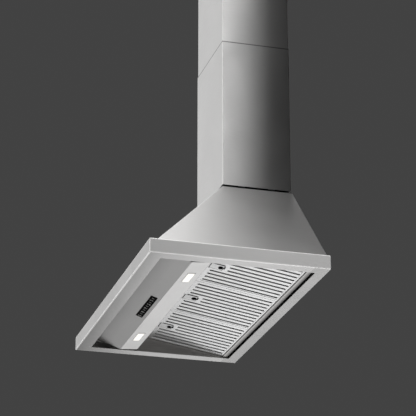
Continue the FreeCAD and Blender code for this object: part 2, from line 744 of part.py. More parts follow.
def baffle(level, lip_way, centres):
    """Slotted plate whose slot edges turn up or down into the filter as lips."""
    inset = FILTER_SHEET + FIT
    half = filter_width / 2 - inset
    plate = box(-half, half, inset, filter_length - inset, level, level + FILTER_SHEET)
    cuts, lips = [], []
    lip_start = level if lip_way > 0 else level + FILTER_SHEET - BAFFLE_LIP
    for x in centres:
        near_latch = abs(x) < LATCH_HALF_WIDTH
        start = short_slot_start if near_latch else slot_start
        half_slot = SLOT_WIDTH / 2
        cuts.append(profile("Z", [(x - half_slot, start), (x + half_slot, start),
                                  (x + half_slot, slot_end), (x - half_slot, slot_end)],
                            half_slot / 2, level - OVERRUN, level + FILTER_SHEET + OVERRUN))
        for edge in (x - half_slot - FILTER_SHEET, x + half_slot):
            lips.append(box(edge, edge + FILTER_SHEET, start + half_slot / 2, slot_end - half_slot / 2,
                            lip_start, lip_start + BAFFLE_LIP))
    return plate.fuse(lips).cut(cuts)


def filter_frame(name):
    """Channel folded round the baffles, with a notch and a slot for the latch."""
    half = filter_width / 2
    outer = box(-half, half, 0, filter_length, 0, FILTER_THICKNESS)
    corners = [edge for edge in outer.Edges if edge.BoundBox.ZLength > FILTER_THICKNESS / 2]
    outer = outer.makeFillet(FILTER_SHEET, corners)
    groove = box(FILTER_SHEET - half, half - FILTER_SHEET, FILTER_SHEET, filter_length - FILTER_SHEET,
                 FILTER_SHEET, FILTER_THICKNESS - FILTER_SHEET)
    window = box(FILTER_BORDER - half, half - FILTER_BORDER, FILTER_BORDER, filter_length - FILTER_BORDER,
                 -OVERRUN, FILTER_THICKNESS + OVERRUN)
    notch_half = LATCH_HALF_WIDTH + LATCH_OUTLINE
    notch = box(-notch_half, notch_half, LATCH_FRONT - LATCH_OUTLINE, FILTER_BORDER + OVERRUN,
                -OVERRUN, FILTER_SHEET)
    bolt_half = BOLT_HALF_WIDTH + SEAT
    slot = box(-bolt_half, bolt_half, -OVERRUN, 2 * FILTER_SHEET,
               BOLT_LEVEL - SEAT, BOLT_LEVEL + LATCH_SHEET + SEAT)
    return on_slope(outer.cut(groove).cut(window).cut(notch).cut(slot), name)


def filter_front_baffle(name):
    """Lower baffle: the slotted face that shows, with openings for the latch."""
    plate = baffle(FILTER_SHEET + SEAT, 1, slot_places(front_slots()))
    bolt_half = BOLT_HALF_WIDTH + LATCH_OUTLINE
    top = FILTER_THICKNESS / 2
    notch_end = LATCH_FRONT + LATCH_SHEET + LATCH_TRAVEL + LATCH_OUTLINE
    bolt_notch = box(-bolt_half, bolt_half, 0, notch_end, 0, top)
    half_x, half_y = GRIP_WIDTH / 2 + LATCH_OUTLINE, GRIP_DEPTH / 2 + LATCH_OUTLINE
    grip_window = box(-half_x, half_x, grip_v - half_y, grip_v + half_y + LATCH_TRAVEL, 0, top)
    return on_slope(plate.cut(bolt_notch).cut(grip_window), name)


def filter_rear_baffle(name):
    """Upper baffle: its slots stand over the ribs of the lower one."""
    level = FILTER_THICKNESS - 2 * FILTER_SHEET - SEAT
    return on_slope(baffle(level, -1, slot_places(front_slots() - 1)), name)


def latch_plate(name):
    """Sliding plate with its bolt, folded up and forward through the filter's front."""
    low = -SEAT
    back = LATCH_FRONT + LATCH_LENGTH
    plate = box(-LATCH_HALF_WIDTH, LATCH_HALF_WIDTH, LATCH_FRONT, back, low, low + LATCH_SHEET)
    path = [(-BOLT_REACH, BOLT_LEVEL), (LATCH_FRONT, BOLT_LEVEL), (LATCH_FRONT, low),
            (LATCH_FRONT + LATCH_SHEET + BEND, low)]
    bolt = folded("X", path, LATCH_SHEET, LATCH_SHEET / 2, -BOLT_HALF_WIDTH, BOLT_HALF_WIDTH)
    oval = grip_outline(0, low - OVERRUN, low + OVERRUN)
    return on_slope(joined([plate, bolt]).cut(oval), name)


def grip_outline(grow, z0, z1):
    """Rounded oval of the finger grip, grown all round."""
    radius = GRIP_DEPTH / 2 + grow
    half_x, half_y = GRIP_WIDTH / 2 + grow, GRIP_DEPTH / 2 + grow
    reach = half_x - radius
    straight = box(-reach, reach, grip_v - half_y, grip_v + half_y, z0, z1)
    ends = [rod("Z", (side * reach, grip_v, 0), z0, z1, radius) for side in SIDES.values()]
    return joined([straight] + ends)


def latch_grip(name):
    """Black finger cup, snapped through the latch plate and over the lower baffle."""
    low = -SEAT
    rim = grip_outline(GRIP_RIM, low - GRIP_RIM_THICKNESS, low)
    body = grip_outline(0, low, GRIP_HEIGHT)
    hollow = grip_outline(-GRIP_WALL, low - GRIP_RIM_THICKNESS - OVERRUN, GRIP_HEIGHT - GRIP_WALL)
    ear_low = 2 * FILTER_SHEET + 2 * SEAT
    half_x = GRIP_WIDTH / 2 + GRIP_EAR
    ears = box(-half_x, half_x, grip_v - GRIP_EAR_DEPTH / 2, grip_v + GRIP_EAR_DEPTH / 2,
               ear_low, ear_low + GRIP_EAR_THICKNESS)
    return on_slope(joined([rim, body, ears]).cut(hollow), name)


# Chimney

def chimney_section(inset, low, high):
    """Three-sided chimney cover with its back edges folded in."""
    x, front = CHIMNEY_WIDTH / 2 - inset, CHIMNEY_DEPTH - inset
    back = CHIMNEY_BACK_GAP + inset
    edge = x - CHIMNEY_RETURN
    path = [(-edge, -back), (-x, -back), (-x, -front), (x, -front), (x, -back), (edge, -back)]
    return folded("Z", path, SHEET, BEND, low, high)


def bracket_levels():
    high = TOTAL_HEIGHT - BRACKET_DROP
    return high - BRACKET_WIDTH, high


def upper_chimney():
    """Narrower section that telescopes in the lower one, with its two side screw holes."""
    inset = SHEET + SLIDE_GAP
    section = chimney_section(inset, SEAM_HEIGHT - SECTION_OVERLAP, TOTAL_HEIGHT)
    low, high = bracket_levels()
    x = CHIMNEY_WIDTH / 2 + OVERRUN
    return section.cut(rod("X", (0, bracket_screw_y(), (low + high) / 2), -x, x, SCREW_RADIUS + FIT))


def bracket_screw_y():
    return -(CHIMNEY_BACK_GAP + BRACKET_STEP + BRACKET_LEG / 2)


def chimney_bracket():
    """Wall bracket in the top of the chimney, stepped round its folded back edges."""
    inside = CHIMNEY_WIDTH / 2 - 2 * SHEET - SLIDE_GAP
    step, tip = -BRACKET_STEP, -BRACKET_STEP - CHIMNEY_BACK_GAP - BRACKET_LEG
    right = [(BRACKET_HALF_BACK, 0), (BRACKET_HALF_BACK, step), (inside, step), (inside, tip)]
    path = right[::-1] + [(-a, b) for a, b in right]
    low, high = bracket_levels()
    bracket = folded("Z", path, BRACKET_SHEET, BEND, low, high)
    level = (low + high) / 2
    for side in SIDES.values():
        place = (side * BRACKET_HOLE_X, 0, level)
        bracket = bracket.cut(rod("Y", place, -OVERRUN, OVERRUN, BRACKET_HOLE_RADIUS))
    return bracket.cut(rod("X", (0, bracket_screw_y(), level), -half_width, half_width, SCREW_RADIUS + FIT))


def chimney_screws():
    """The two screws that hold the upper chimney to its bracket, one a side."""
    low, high = bracket_levels()
    face = CHIMNEY_WIDTH / 2 - SHEET - SLIDE_GAP
    place = (0, bracket_screw_y(), (low + high) / 2)
    one = screw("X", place, face, -1, SCREW_LENGTH, SCREW_RADIUS, SCREW_HEAD_RADIUS, SCREW_HEAD)
    return [one, mirrored(one)]


# Blower

def scroll_turn(quarter, grow, angle):
    """Place on one of the three growing quarter turns of the scroll, grown outwards."""
    a, b = ((-1, -1), (1, -1), (1, 1))[quarter]
    radius = scroll_radius + quarter * SCROLL_STEP + grow
    return (shaft_y + a * SCROLL_STEP / 2 + radius * cos(angle),
            shaft_z + b * SCROLL_STEP / 2 + radius * sin(angle))


def tongue_angle(grow):
    """Direction, on the first quarter turn, in which the scroll meets the outlet's front wall."""
    reach = SCROLL_STEP / 2 - TONGUE_OFFSET - grow
    return acos(reach / (scroll_radius + grow))


def scroll(grow, x0, x1):
    """Scroll of three growing quarter turns that runs out into an upright outlet."""
    turns = []
    for quarter in range(3):
        last = pi * (quarter + 2) / 2
        first = last - pi / 2 if quarter else tongue_angle(grow)
        ends = [scroll_turn(quarter, grow, angle) for angle in (first, (first + last) / 2, last)]
        turns.append(Part.Arc(*[V(x0, *end) for end in ends]).toShape())
    tongue, rear = scroll_turn(0, grow, tongue_angle(grow)), scroll_turn(2, grow, 2 * pi)
    outlet = [rear, (rear[0], CANOPY_TOP), (tongue[0], CANOPY_TOP), tongue]
    straights = [Part.makeLine(V(x0, *p), V(x0, *q)) for p, q in zip(outlet, outlet[1:])]
    return Part.Face(Part.Wire(turns + straights)).extrude(V(x1 - x0, 0, 0))


def casing_screws_at():
    """Screw places on the joint between the two casing halves."""
    reach = CASING_WALL + CASING_LIP / 2
    places = [scroll_turn(quarter, reach, pi * (2 * quarter + 3) / 4) for quarter in range(3)]
    level = CANOPY_TOP - OUTLET_SCREW_DROP
    return places + [(outlet_rear + reach, level), (outlet_front - reach, level)]


def blower_casing(side):
    """Moulded half of the scroll casing, with its inlet, joint lip and outlet flange."""
    width = SCROLL_HALF_WIDTH
    lip = scroll(CASING_WALL + CASING_LIP, 0, CASING_LIP_THICKNESS)
    wall = scroll(CASING_WALL, 0, width)
    mouth = rod("X", (0, shaft_y, shaft_z), width, width + INLET_LIP, INLET_RADIUS + INLET_LIP)
    edge = [e for e in mouth.Edges if abs(e.CenterOfMass.x - width - INLET_LIP) < SEAT and e.Closed]
    mouth = mouth.makeFillet(INLET_LIP / 2, edge)
    flange = box(0, width + CASING_FLANGE, outlet_front - CASING_FLANGE, outlet_rear + CASING_FLANGE,
                 CANOPY_TOP - CASING_FLANGE_THICKNESS, CANOPY_TOP)
    half = joined([wall, lip, mouth, flange])
    inside = scroll(0, -OVERRUN, width - CASING_WALL)
    tongue = scroll_turn(0, 0, tongue_angle(0))
    tip = [e for e in inside.Edges if dist(e.CenterOfMass[1:], tongue) < SNAP]
    inside = inside.makeFillet(TONGUE_RADIUS, tip)
    half = half.cut(inside).cut(rod("X", (0, shaft_y, shaft_z), 0, width + 2 * INLET_LIP, INLET_RADIUS))
    for y, z in casing_screws_at():
        half = half.cut(rod("X", (0, y, z), -OVERRUN, OVERRUN, CASE_SCREW_RADIUS + FIT))
    for x, y in collar_screws_at():
        half = half.cut(rod("Z", (x, y, 0), CANOPY_TOP - OVERRUN, CANOPY_TOP + OVERRUN, SCREW_RADIUS + FIT))
    for y, z in mounts_at():
        half = half.cut(rod("X", (0, y, z), width - OVERRUN, width + OVERRUN, CASE_SCREW_RADIUS + FIT))
    return half if side > 0 else mirrored(half)


def mounts_at():
    """Places of the rubber mounts round the inlet, the first one straight down."""
    turns = [pi * 3 / 2 + 2 * pi * i / SPIDER_ARMS for i in range(SPIDER_ARMS)]
    return [(shaft_y + MOUNT_CIRCLE * cos(turn), shaft_z + MOUNT_CIRCLE * sin(turn)) for turn in turns]


def blade():
    """One forward-curved blade, seen along the shaft, with the shaft at the origin."""
    centre, inner = BLADE_CURVE_CENTRE, BLADE_CURVE

    def meet(reach, curve):
        """Where a circle round the blade's own centre crosses a radius of the wheel."""
        swing = acos((reach ** 2 + centre ** 2 - curve ** 2) / (2 * reach * centre))
        return V(0, reach * cos(swing), -reach * sin(swing))
    span = (BLADE_INNER_RADIUS, WHEEL_RADIUS - BLADE_THICKNESS / 2)
    curves = []
    for curve, ends in ((inner, span), (inner + BLADE_THICKNESS, span[::-1])):
        first, last = (meet(reach, curve) for reach in ends)
        hub = V(0, centre, 0)
        middle = hub + ((first + last) / 2 - hub).normalize() * curve
        curves.append((first, middle, last))
    edges = []
    for i, (first, middle, last) in enumerate(curves):
        edges.append(Part.Arc(first, middle, last).toShape())
        edges.append(Part.makeLine(last, curves[1 - i][0]))
    face = Part.Face(Part.Wire(edges))
    half = WHEEL_HALF_WIDTH - WHEEL_RING
    face.translate(V(-half, shaft_y, shaft_z))
    return face.extrude(V(2 * half, 0, 0))


def blower_wheel():
    """Double-inlet wheel: a slotted disc on its hub, two end rings and the blades they hold."""
    place = (0, shaft_y, shaft_z)
    half = WHEEL_HALF_WIDTH
    disc = rod("X", place, -WHEEL_DISC / 2, WHEEL_DISC / 2, WHEEL_RADIUS)
    hub = rod("X", place, -HUB_LENGTH / 2, HUB_LENGTH / 2, HUB_RADIUS)
    disc = joined([disc, hub]).cut(rod("X", place, -half, half, SHAFT_RADIUS))
    rings = [ring("X", place, start, start + WHEEL_RING, WHEEL_RADIUS, WHEEL_RADIUS - WHEEL_RING_WIDTH)
             for start in (-half, half - WHEEL_RING)]
    first = blade()
    blades = []
    for i in range(BLADES):
        copy = first.copy()
        copy.rotate(V(*place), AXIS["X"], 360 * i / BLADES)
        disc = disc.cut(copy)
        blades.append(copy)
    return [disc] + rings + blades


def motor_shaft():
    """Steel shaft: the wheel is pressed on its free end."""
    start = -HUB_LENGTH / 2 - SHAFT_STUB
    shaft = rod("X", (0, shaft_y, shaft_z), start, motor_end - SHAFT_STUB, SHAFT_RADIUS)
    tips = [edge for edge in shaft.Edges if edge.Closed]
    return shaft.makeChamfer(SHAFT_CHAMFER, tips)


def motor_body():
    """Round motor that reaches into the wheel, stepped at both ends round its bearings."""
    place = (0, shaft_y, shaft_z)
    drum = rod("X", place, MOTOR_START + MOTOR_END_STEP, motor_end - MOTOR_END_STEP, MOTOR_RADIUS)
    rims = [edge for edge in drum.Edges if edge.Closed]
    drum = drum.makeFillet(MOTOR_EDGE, rims)
    ends = rod("X", place, MOTOR_START, motor_end, MOTOR_END_RADIUS)
    body = joined([drum, ends])
    for start in bearing_starts():
        body = body.cut(rod("X", place, start, start + BEARING_WIDTH, BEARING_RADIUS))
    return body.cut(rod("X", place, MOTOR_START - OVERRUN, motor_end + OVERRUN, SHAFT_RADIUS + SHAFT_GAP))


def bearing_starts():
    return MOTOR_START, motor_end - BEARING_WIDTH


def motor_bearings():
    place = (0, shaft_y, shaft_z)
    return [ring("X", place, start, start + BEARING_WIDTH, BEARING_RADIUS, SHAFT_RADIUS + RUNNING)
            for start in bearing_starts()]


def motor_spider():
    """Three-armed plate that hangs the motor in the inlet."""
    place = (0, shaft_y, shaft_z)
    start, stop = motor_end, motor_end + SPIDER_SHEET
    hub = rod("X", place, start, stop, SPIDER_HUB_RADIUS)
    plate = [hub]
    for y, z in mounts_at():
        turn = degrees(atan2(z - shaft_z, y - shaft_y))
        arm = box(start, stop, 0, MOUNT_CIRCLE, -SPIDER_ARM_WIDTH / 2, SPIDER_ARM_WIDTH / 2)
        arm.rotate(V(0, 0, 0), AXIS["X"], turn)
        arm.translate(V(0, shaft_y, shaft_z))
        plate += [arm, rod("X", (0, y, z), start, stop, SPIDER_ARM_WIDTH / 2)]
    spider = joined(plate).cut(rod("X", place, start - OVERRUN, stop + OVERRUN, SHAFT_RADIUS + SHAFT_GAP))
    for y, z in mounts_at():
        spider = spider.cut(rod("X", (0, y, z), start - OVERRUN, stop + OVERRUN, CASE_SCREW_RADIUS + FIT))
    return spider


def motor_mounts():
    """Rubber bushes between the casing and the arms of the motor plate."""
    return [ring("X", (0, y, z), SCROLL_HALF_WIDTH, motor_end, MOUNT_RADIUS, CASE_SCREW_RADIUS + FIT)
            for y, z in mounts_at()]


# Duct outlet with its non-return flaps

def outlet_collar():
    """Round duct spigot on a square flange, with a stop bead for the flaps."""
    place = (0, OUTLET_Y, 0)
    top = plate_top + COLLAR_HEIGHT
    flange = slab(COLLAR_FLANGE_HALF, COLLAR_FLANGE_HALF, plate_top, plate_top + COLLAR_FLANGE, OVERRUN)
    flange.translate(V(*place))
    tube = rod("Z", place, plate_top, top, COLLAR_RADIUS)
    inner = COLLAR_RADIUS - COLLAR_WALL
    collar = joined([flange, tube]).cut(rod("Z", place, plate_top - OVERRUN, top + OVERRUN, inner))
    bead_top = flap_z - FLAP_THICKNESS / 2 - SEAT
    bead = ring("Z", place, bead_top - COLLAR_WALL, bead_top, inner + COLLAR_WALL / 2, inner - COLLAR_BEAD)
    collar = joined([collar, bead])
    x = COLLAR_RADIUS + OVERRUN
    collar = collar.cut(rod("X", (0, OUTLET_Y, flap_z), -x, x, PIN_RADIUS))
    for x, y in collar_screws_at():
        hole = rod("Z", (x, y, 0), plate_top - OVERRUN, plate_top + OVERRUN, SCREW_RADIUS + FIT)
        collar = collar.cut(hole)
    return collar


def flap_pin():
    """Pin pressed through the collar, its ends just under flush so that a duct slides over."""
    reach = COLLAR_RADIUS - FIT
    return rod("X", (0, OUTLET_Y, flap_z), -reach, reach, PIN_RADIUS)


def damper_flap(way):
    """Half-round flap rolled round the pin; the other flap's knuckles fit its notches."""
    z = flap_z
    bore = PIN_RADIUS + RUNNING
    knuckle = bore + KNUCKLE_WALL
    radius = COLLAR_RADIUS - COLLAR_WALL - FLAP_CLEARANCE
    low, high = z - FLAP_THICKNESS / 2, z + FLAP_THICKNESS / 2
    disc = rod("Z", (0, OUTLET_Y, 0), low, high, radius)
    keep = box(-radius, radius, 0, radius, low, high)
    keep.translate(V(0, OUTLET_Y, 0))
    plate = disc.common(keep)
    own, other = [], []
    for first, last in zip(KNUCKLE_ENDS, KNUCKLE_ENDS[1:]):
        spans = [(first, last), (-last, -first)]
        mine = (KNUCKLE_ENDS.index(first) % 2 == 0) == (way > 0)
        for low_x, high_x in spans:
            (own if mine else other).append((low_x, high_x))
    tubes = []
    for low_x, high_x in own:
        tubes.append(rod("X", (0, OUTLET_Y, z), low_x + KNUCKLE_GAP * (low_x != 0) / 2,
                         high_x - KNUCKLE_GAP * (high_x != 0) / 2, knuckle))
    flap = joined([plate] + tubes)
    for low_x, high_x in other:
        notch = box(low_x - KNUCKLE_GAP / 2, high_x + KNUCKLE_GAP / 2, -knuckle, knuckle + SEAT,
                    -knuckle, knuckle)
        notch.translate(V(0, OUTLET_Y, z))
        flap = flap.cut(notch)
    end = KNUCKLE_ENDS[-1]
    for side in SIDES.values():
        outside = box(end, radius + OVERRUN, -knuckle, knuckle + SEAT, -knuckle, knuckle)
        outside.translate(V(0, OUTLET_Y, z))
        flap = flap.cut(outside if side > 0 else mirrored(outside))
    flap = flap.cut(rod("X", (0, OUTLET_Y, z), -radius - OVERRUN, radius + OVERRUN, bore))
    if way < 0:
        flap.rotate(V(0, OUTLET_Y, z), AXIS["Z"], 180)
    return flap


# Electrical box and cable gland

def electronics_box():
    """Open moulded box on the back panel, with corner posts for its cover."""
    x0, x1, z0, z1 = BOX_X, BOX_X + BOX_WIDTH, BOX_BOTTOM, BOX_BOTTOM + BOX_HEIGHT
    front = -SHEET - BOX_DEPTH
    shell = box(x0, x1, front, -SHEET, z0, z1)
    uprights = [edge for edge in shell.Edges if edge.BoundBox.YLength > BOX_DEPTH / 2]
    shell = shell.makeFillet(BOX_WALL, uprights)
    hollow = box(x0 + BOX_WALL, x1 - BOX_WALL, front - OVERRUN, -SHEET - BOX_WALL,
                 z0 + BOX_WALL, z1 - BOX_WALL)
    shell = shell.cut(hollow)
    posts = []
    for x, z in box_posts():
        posts.append(box(x - BOX_POST / 2, x + BOX_POST / 2, front, -SHEET - BOX_WALL / 2,
                         z - BOX_POST / 2, z + BOX_POST / 2))
    shell = joined([shell] + posts)
    for x, z in box_posts():
        hole = rod("Y", (x, 0, z), front - OVERRUN, front + CASE_SCREW_LENGTH, CASE_SCREW_RADIUS + FIT)
        shell = shell.cut(hole)
    return shell


def box_posts():
    inset = BOX_WALL + BOX_POST / 2 - FIT
    return [(x, z) for x in (BOX_X + inset, BOX_X + BOX_WIDTH - inset)
            for z in (BOX_BOTTOM + inset, BOX_BOTTOM + BOX_HEIGHT - inset)]


def electronics_cover():
    front = -SHEET - BOX_DEPTH
    cover = box(BOX_X, BOX_X + BOX_WIDTH, front - BOX_WALL, front, BOX_BOTTOM, BOX_BOTTOM + BOX_HEIGHT)
    corners = [edge for edge in cover.Edges if edge.BoundBox.YLength > BOX_WALL / 2]
    cover = cover.makeFillet(BOX_WALL, corners)
    for x, z in box_posts():
        hole = rod("Y", (x, 0, z), front - BOX_WALL - OVERRUN, front + OVERRUN, CASE_SCREW_RADIUS + FIT)
        cover = cover.cut(hole)
    return cover


def power_board():
    """Circuit board with its relays, capacitor and terminal block."""
    back = -SHEET - BOX_WALL
    reach = BOX_WALL + BOX_POST
    x0, x1 = BOX_X + reach, BOX_X + BOX_WIDTH - reach
    z0, z1 = BOX_BOTTOM + reach, BOX_BOTTOM + BOX_HEIGHT - reach
    rear = back - BOARD_STANDOFF
    face = rear - BOARD
    pieces = [box(x0, x1, face, rear, z0, z1)]
    for x in (x0, x1 - BOX_POST):
        for z in (z0, z1 - BOX_POST):
            pieces.append(box(x, x + BOX_POST, rear, back, z, z + BOX_POST))
    for i in range(3):
        x = x0 + BOARD_MARGIN + i * RELAY_PITCH
        pieces.append(box(x, x + RELAY_WIDTH, face - RELAY_DEPTH, face,
                          z0 + BOARD_MARGIN, z0 + BOARD_MARGIN + RELAY_HEIGHT))
    pieces.append(box(x0 + BOARD_MARGIN, x1 - BOARD_MARGIN, face - TERMINAL_DEPTH, face,
                      z1 - BOARD_MARGIN - TERMINAL_HEIGHT, z1 - BOARD_MARGIN))
    corner = BOARD_MARGIN + CAPACITOR_RADIUS
    pieces.append(rod("Y", (x1 - corner, 0, z0 + corner), face - CAPACITOR_LENGTH, face, CAPACITOR_RADIUS))
    return joined(pieces)


def cable_gland():
    """Gland in the top plate where the mains cable enters."""
    place, foot, top = (gland_x, GLAND_Y, 0), CANOPY_TOP - GLAND_TAIL, plate_top + GLAND_HEIGHT
    bolt = rod("Z", place, foot, top, GLAND_RADIUS)
    tip = [edge for edge in bolt.Edges if edge.Closed and edge.CenterOfMass.z > plate_top]
    bolt = bolt.makeFillet(GLAND_EDGE, tip)
    corners = [(gland_x + GLAND_NUT_RADIUS * cos(pi * i / 3), GLAND_Y + GLAND_NUT_RADIUS * sin(pi * i / 3))
               for i in range(6)]
    nuts = [profile("Z", corners, 0, level, level + GLAND_NUT)
            for level in (CANOPY_TOP - GLAND_NUT, plate_top)]
    grip = rod("Z", place, foot - OVERRUN, top + OVERRUN, GLAND_BORE)
    tail = rod("Z", place, foot - OVERRUN, top - GLAND_GRIP, GLAND_WIDE_BORE)
    return joined([bolt] + nuts).cut(grip).cut(tail)


# Fasteners

def machine_screws():
    """Screws through the collar, the top plate and the casing flange."""
    sizes = (SCREW_LENGTH, SCREW_RADIUS, SCREW_HEAD_RADIUS, SCREW_HEAD)
    return [screw("Z", (x, y, 0), plate_top + COLLAR_FLANGE, -1, *sizes) for x, y in collar_screws_at()]


def case_screws():
    """Small screws of the casing joint, the motor mounts, the electrical box and the housing."""
    sizes = (CASE_SCREW_RADIUS, CASE_SCREW_HEAD_RADIUS, CASE_SCREW_HEAD)
    short = (CASE_SCREW_LENGTH, *sizes)
    arm, cover = motor_end + SPIDER_SHEET, -SHEET - BOX_DEPTH - BOX_WALL
    group = [screw("X", (0, y, z), CASING_LIP_THICKNESS, -1, *short) for y, z in casing_screws_at()]
    group += [screw("X", (0, y, z), arm, -1, MOUNT_SCREW_LENGTH, *sizes) for y, z in mounts_at()]
    group += [screw("Y", (x, 0, z), cover, 1, *short) for x, z in box_posts()]
    group += [screw("Y", place, rail_back_y, -1, *short) for place in housing_screws_at()]
    return group


def build():
    os.makedirs("parts", exist_ok=True)
    save("rim_frame", rim_frame())
    save("canopy_shell", canopy_shell())
    save("back_panel", back_panel())
    save("top_plate", top_plate())
    save("chimney_clips", chimney_clips())
    save("lower_chimney", chimney_section(0, chimney_bottom, SEAM_HEIGHT))
    save("upper_chimney", upper_chimney())
    save("chimney_bracket", chimney_bracket())
    save("chimney_screws", chimney_screws())
    save("filter_ledge", filter_ledge())
    save("filter_rail", filter_rail())
    save("control_housing", control_housing())
    save("button_bezel", button_bezel())
    save("switch_board", switch_board())
    for name in BUTTONS:
        save(f"button_{name}", push_button(name))
    for name, side in SIDES.items():
        save(f"side_liner_{name}", side_liner(side))
        save(f"lamp_frame_{name}", lamp_frame(side))
        save(f"lamp_lens_{name}", lamp_lens(side))
        save(f"lamp_heat_sink_{name}", lamp_heat_sink(side))
        save(f"blower_casing_{name}", blower_casing(side))
    for name in FILTERS:
        save(f"filter_{name}_frame", filter_frame(name))
        save(f"filter_{name}_front_baffle", filter_front_baffle(name))
        save(f"filter_{name}_rear_baffle", filter_rear_baffle(name))
        save(f"filter_{name}_latch", latch_plate(name))
        save(f"filter_{name}_latch_grip", latch_grip(name))
    save("blower_wheel", blower_wheel())
    save("motor_shaft", motor_shaft())
    save("motor_body", motor_body())
    save("motor_bearings", motor_bearings())
    save("motor_spider", motor_spider())
    save("motor_mounts", motor_mounts())
    save("outlet_collar", outlet_collar())
    save("flap_pin", flap_pin())
    save("damper_flap_front", damper_flap(-1))
    save("damper_flap_rear", damper_flap(1))
    save("electronics_box", electronics_box())
    save("electronics_cover", electronics_cover())
    save("power_board", power_board())
    save("cable_gland", cable_gland())
    save("machine_screws", machine_screws())
    save("case_screws", case_screws())


build()
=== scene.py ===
# %% [markdown]
# A canopy range hood hangs on a kitchen wall: a steel pyramid on a flat box rim, with a telescoping
# chimney above and filters, lamps and push buttons below. The imported model already has every piece at
# its real place, in metres, so this script only dresses it. Modelling the pieces again here would risk
# two different hoods, so the fixed frame is loaded and kept, and its box is noted.

# %% Load the fixed frame
import json
import math

import bmesh
import bpy
from mathutils import Matrix, Vector


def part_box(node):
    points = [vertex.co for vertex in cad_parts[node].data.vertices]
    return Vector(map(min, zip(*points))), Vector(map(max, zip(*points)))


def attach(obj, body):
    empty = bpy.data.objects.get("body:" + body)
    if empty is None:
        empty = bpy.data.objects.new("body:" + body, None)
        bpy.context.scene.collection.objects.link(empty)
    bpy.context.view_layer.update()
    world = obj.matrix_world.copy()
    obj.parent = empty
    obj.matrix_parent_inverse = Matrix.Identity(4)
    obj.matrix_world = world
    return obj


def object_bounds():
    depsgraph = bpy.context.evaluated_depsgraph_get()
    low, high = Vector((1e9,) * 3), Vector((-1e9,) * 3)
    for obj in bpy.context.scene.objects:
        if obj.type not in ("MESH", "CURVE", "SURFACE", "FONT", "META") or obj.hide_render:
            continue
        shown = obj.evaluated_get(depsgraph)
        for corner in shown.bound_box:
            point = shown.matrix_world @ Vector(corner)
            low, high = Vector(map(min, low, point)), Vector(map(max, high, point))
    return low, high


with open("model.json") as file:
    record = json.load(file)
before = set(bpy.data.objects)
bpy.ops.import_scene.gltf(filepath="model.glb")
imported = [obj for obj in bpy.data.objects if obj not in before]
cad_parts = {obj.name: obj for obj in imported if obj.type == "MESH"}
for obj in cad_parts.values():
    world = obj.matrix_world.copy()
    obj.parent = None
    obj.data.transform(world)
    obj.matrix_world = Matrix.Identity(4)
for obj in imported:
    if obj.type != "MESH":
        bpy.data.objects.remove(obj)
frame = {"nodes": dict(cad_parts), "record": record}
nodes = frame["nodes"]
cad_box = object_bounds()
low, high = cad_box
print("pieces:", len(nodes), "box:", [round(v, 3) for v in (*low, *high)])

# %% [markdown]
# The places that this script needs are read from the frame, such as where a button's cap lies. Finishes,
# prints and lights have sizes of their own. A texture's size is written as features per metre, because
# a noise texture repeats once per unit of its coordinates and the unit here is a metre.

# %% Names shared by the cells
MM = 0.001
FILTERS = ("left", "middle", "right")
SIDES = ("left", "right")
print("pieces of filters:", sum(name.startswith("filter_") for name in nodes))

# %% [markdown]
# Shader trees are tedious by hand, so a few helpers do the wiring. `feed` puts a value into a socket:
# a plain value, or the output of another node. `node` makes a node and feeds its inputs by name.
# `maths` and `vector_maths` do so for Math and Vector Math nodes, in the order of their inputs, and
# `chain` runs one operation over a row of values.

# %% Helpers that wire nodes


def feed(tree, socket, value):
    if isinstance(value, bpy.types.NodeSocket):
        tree.links.new(value, socket)
    else:
        socket.default_value = value


def node(tree, kind, settings=None, **inputs):
    made = tree.nodes.new(kind)
    for key, value in (settings or {}).items():
        setattr(made, key, value)
    for key, value in inputs.items():
        feed(tree, made.inputs[key.replace("_", " ")], value)
    return made


def maths(tree, operation, *values):
    made = node(tree, "ShaderNodeMath", {"operation": operation})
    for socket, value in zip(made.inputs, values):
        feed(tree, socket, value)
    return made.outputs[0]


def vector_maths(tree, operation, *values):
    made = node(tree, "ShaderNodeVectorMath", {"operation": operation})
    for socket, value in zip(made.inputs, values):
        feed(tree, socket, value)
    return made.outputs


def chain(tree, operation, first, *others):
    for value in others:
        first = maths(tree, operation, first, value)
    return first


print("wiring helpers ready")

# %% [markdown]
# A finish is mostly a few greys, mixed by masks, which are numbers from 0 to 1 over the surface.
# `blend` mixes two colours by a mask. `split` takes a place or a direction apart into X, Y and Z.
# `fade` runs evenly between two values of one of them. `band` is 1 between two values and 0 outside.

# %% Helpers for colours and masks


def grey(level, warmth=0.0):
    return (level * (1 + warmth), level, level * (1 - warmth), 1.0)


def blend(tree, factor, first, second):
    made = node(tree, "ShaderNodeMix", {"data_type": "RGBA"})
    for name, value in (("Factor", factor), ("A", first), ("B", second)):
        socket = next(s for s in made.inputs if s.name == name and (s.type == "RGBA" or name == "Factor"))
        feed(tree, socket, value)
    return next(s for s in made.outputs if s.type == "RGBA")


def split(tree, vector):
    return node(tree, "ShaderNodeSeparateXYZ", Vector=vector).outputs


def fade(tree, value, first, last, at_first=0.0, at_last=1.0):
    return node(tree, "ShaderNodeMapRange", Value=value, From_Min=first, From_Max=last,
                To_Min=at_first, To_Max=at_last).outputs[0]


def band(tree, value, first, last):
    above = maths(tree, "GREATER_THAN", value, first)
    return maths(tree, "MULTIPLY", above, maths(tree, "LESS_THAN", value, last))


print("plain grey:", grey(0.5))

# %% [markdown]
# Four effects serve more than one finish, so each is a node group with named sockets. A group is made
# once and placed in every material that needs it, with that material's own values. `new_group` makes
# the tree and its sockets. It hands back the ends of the tree, ready for wiring.

# %% Helpers for node groups


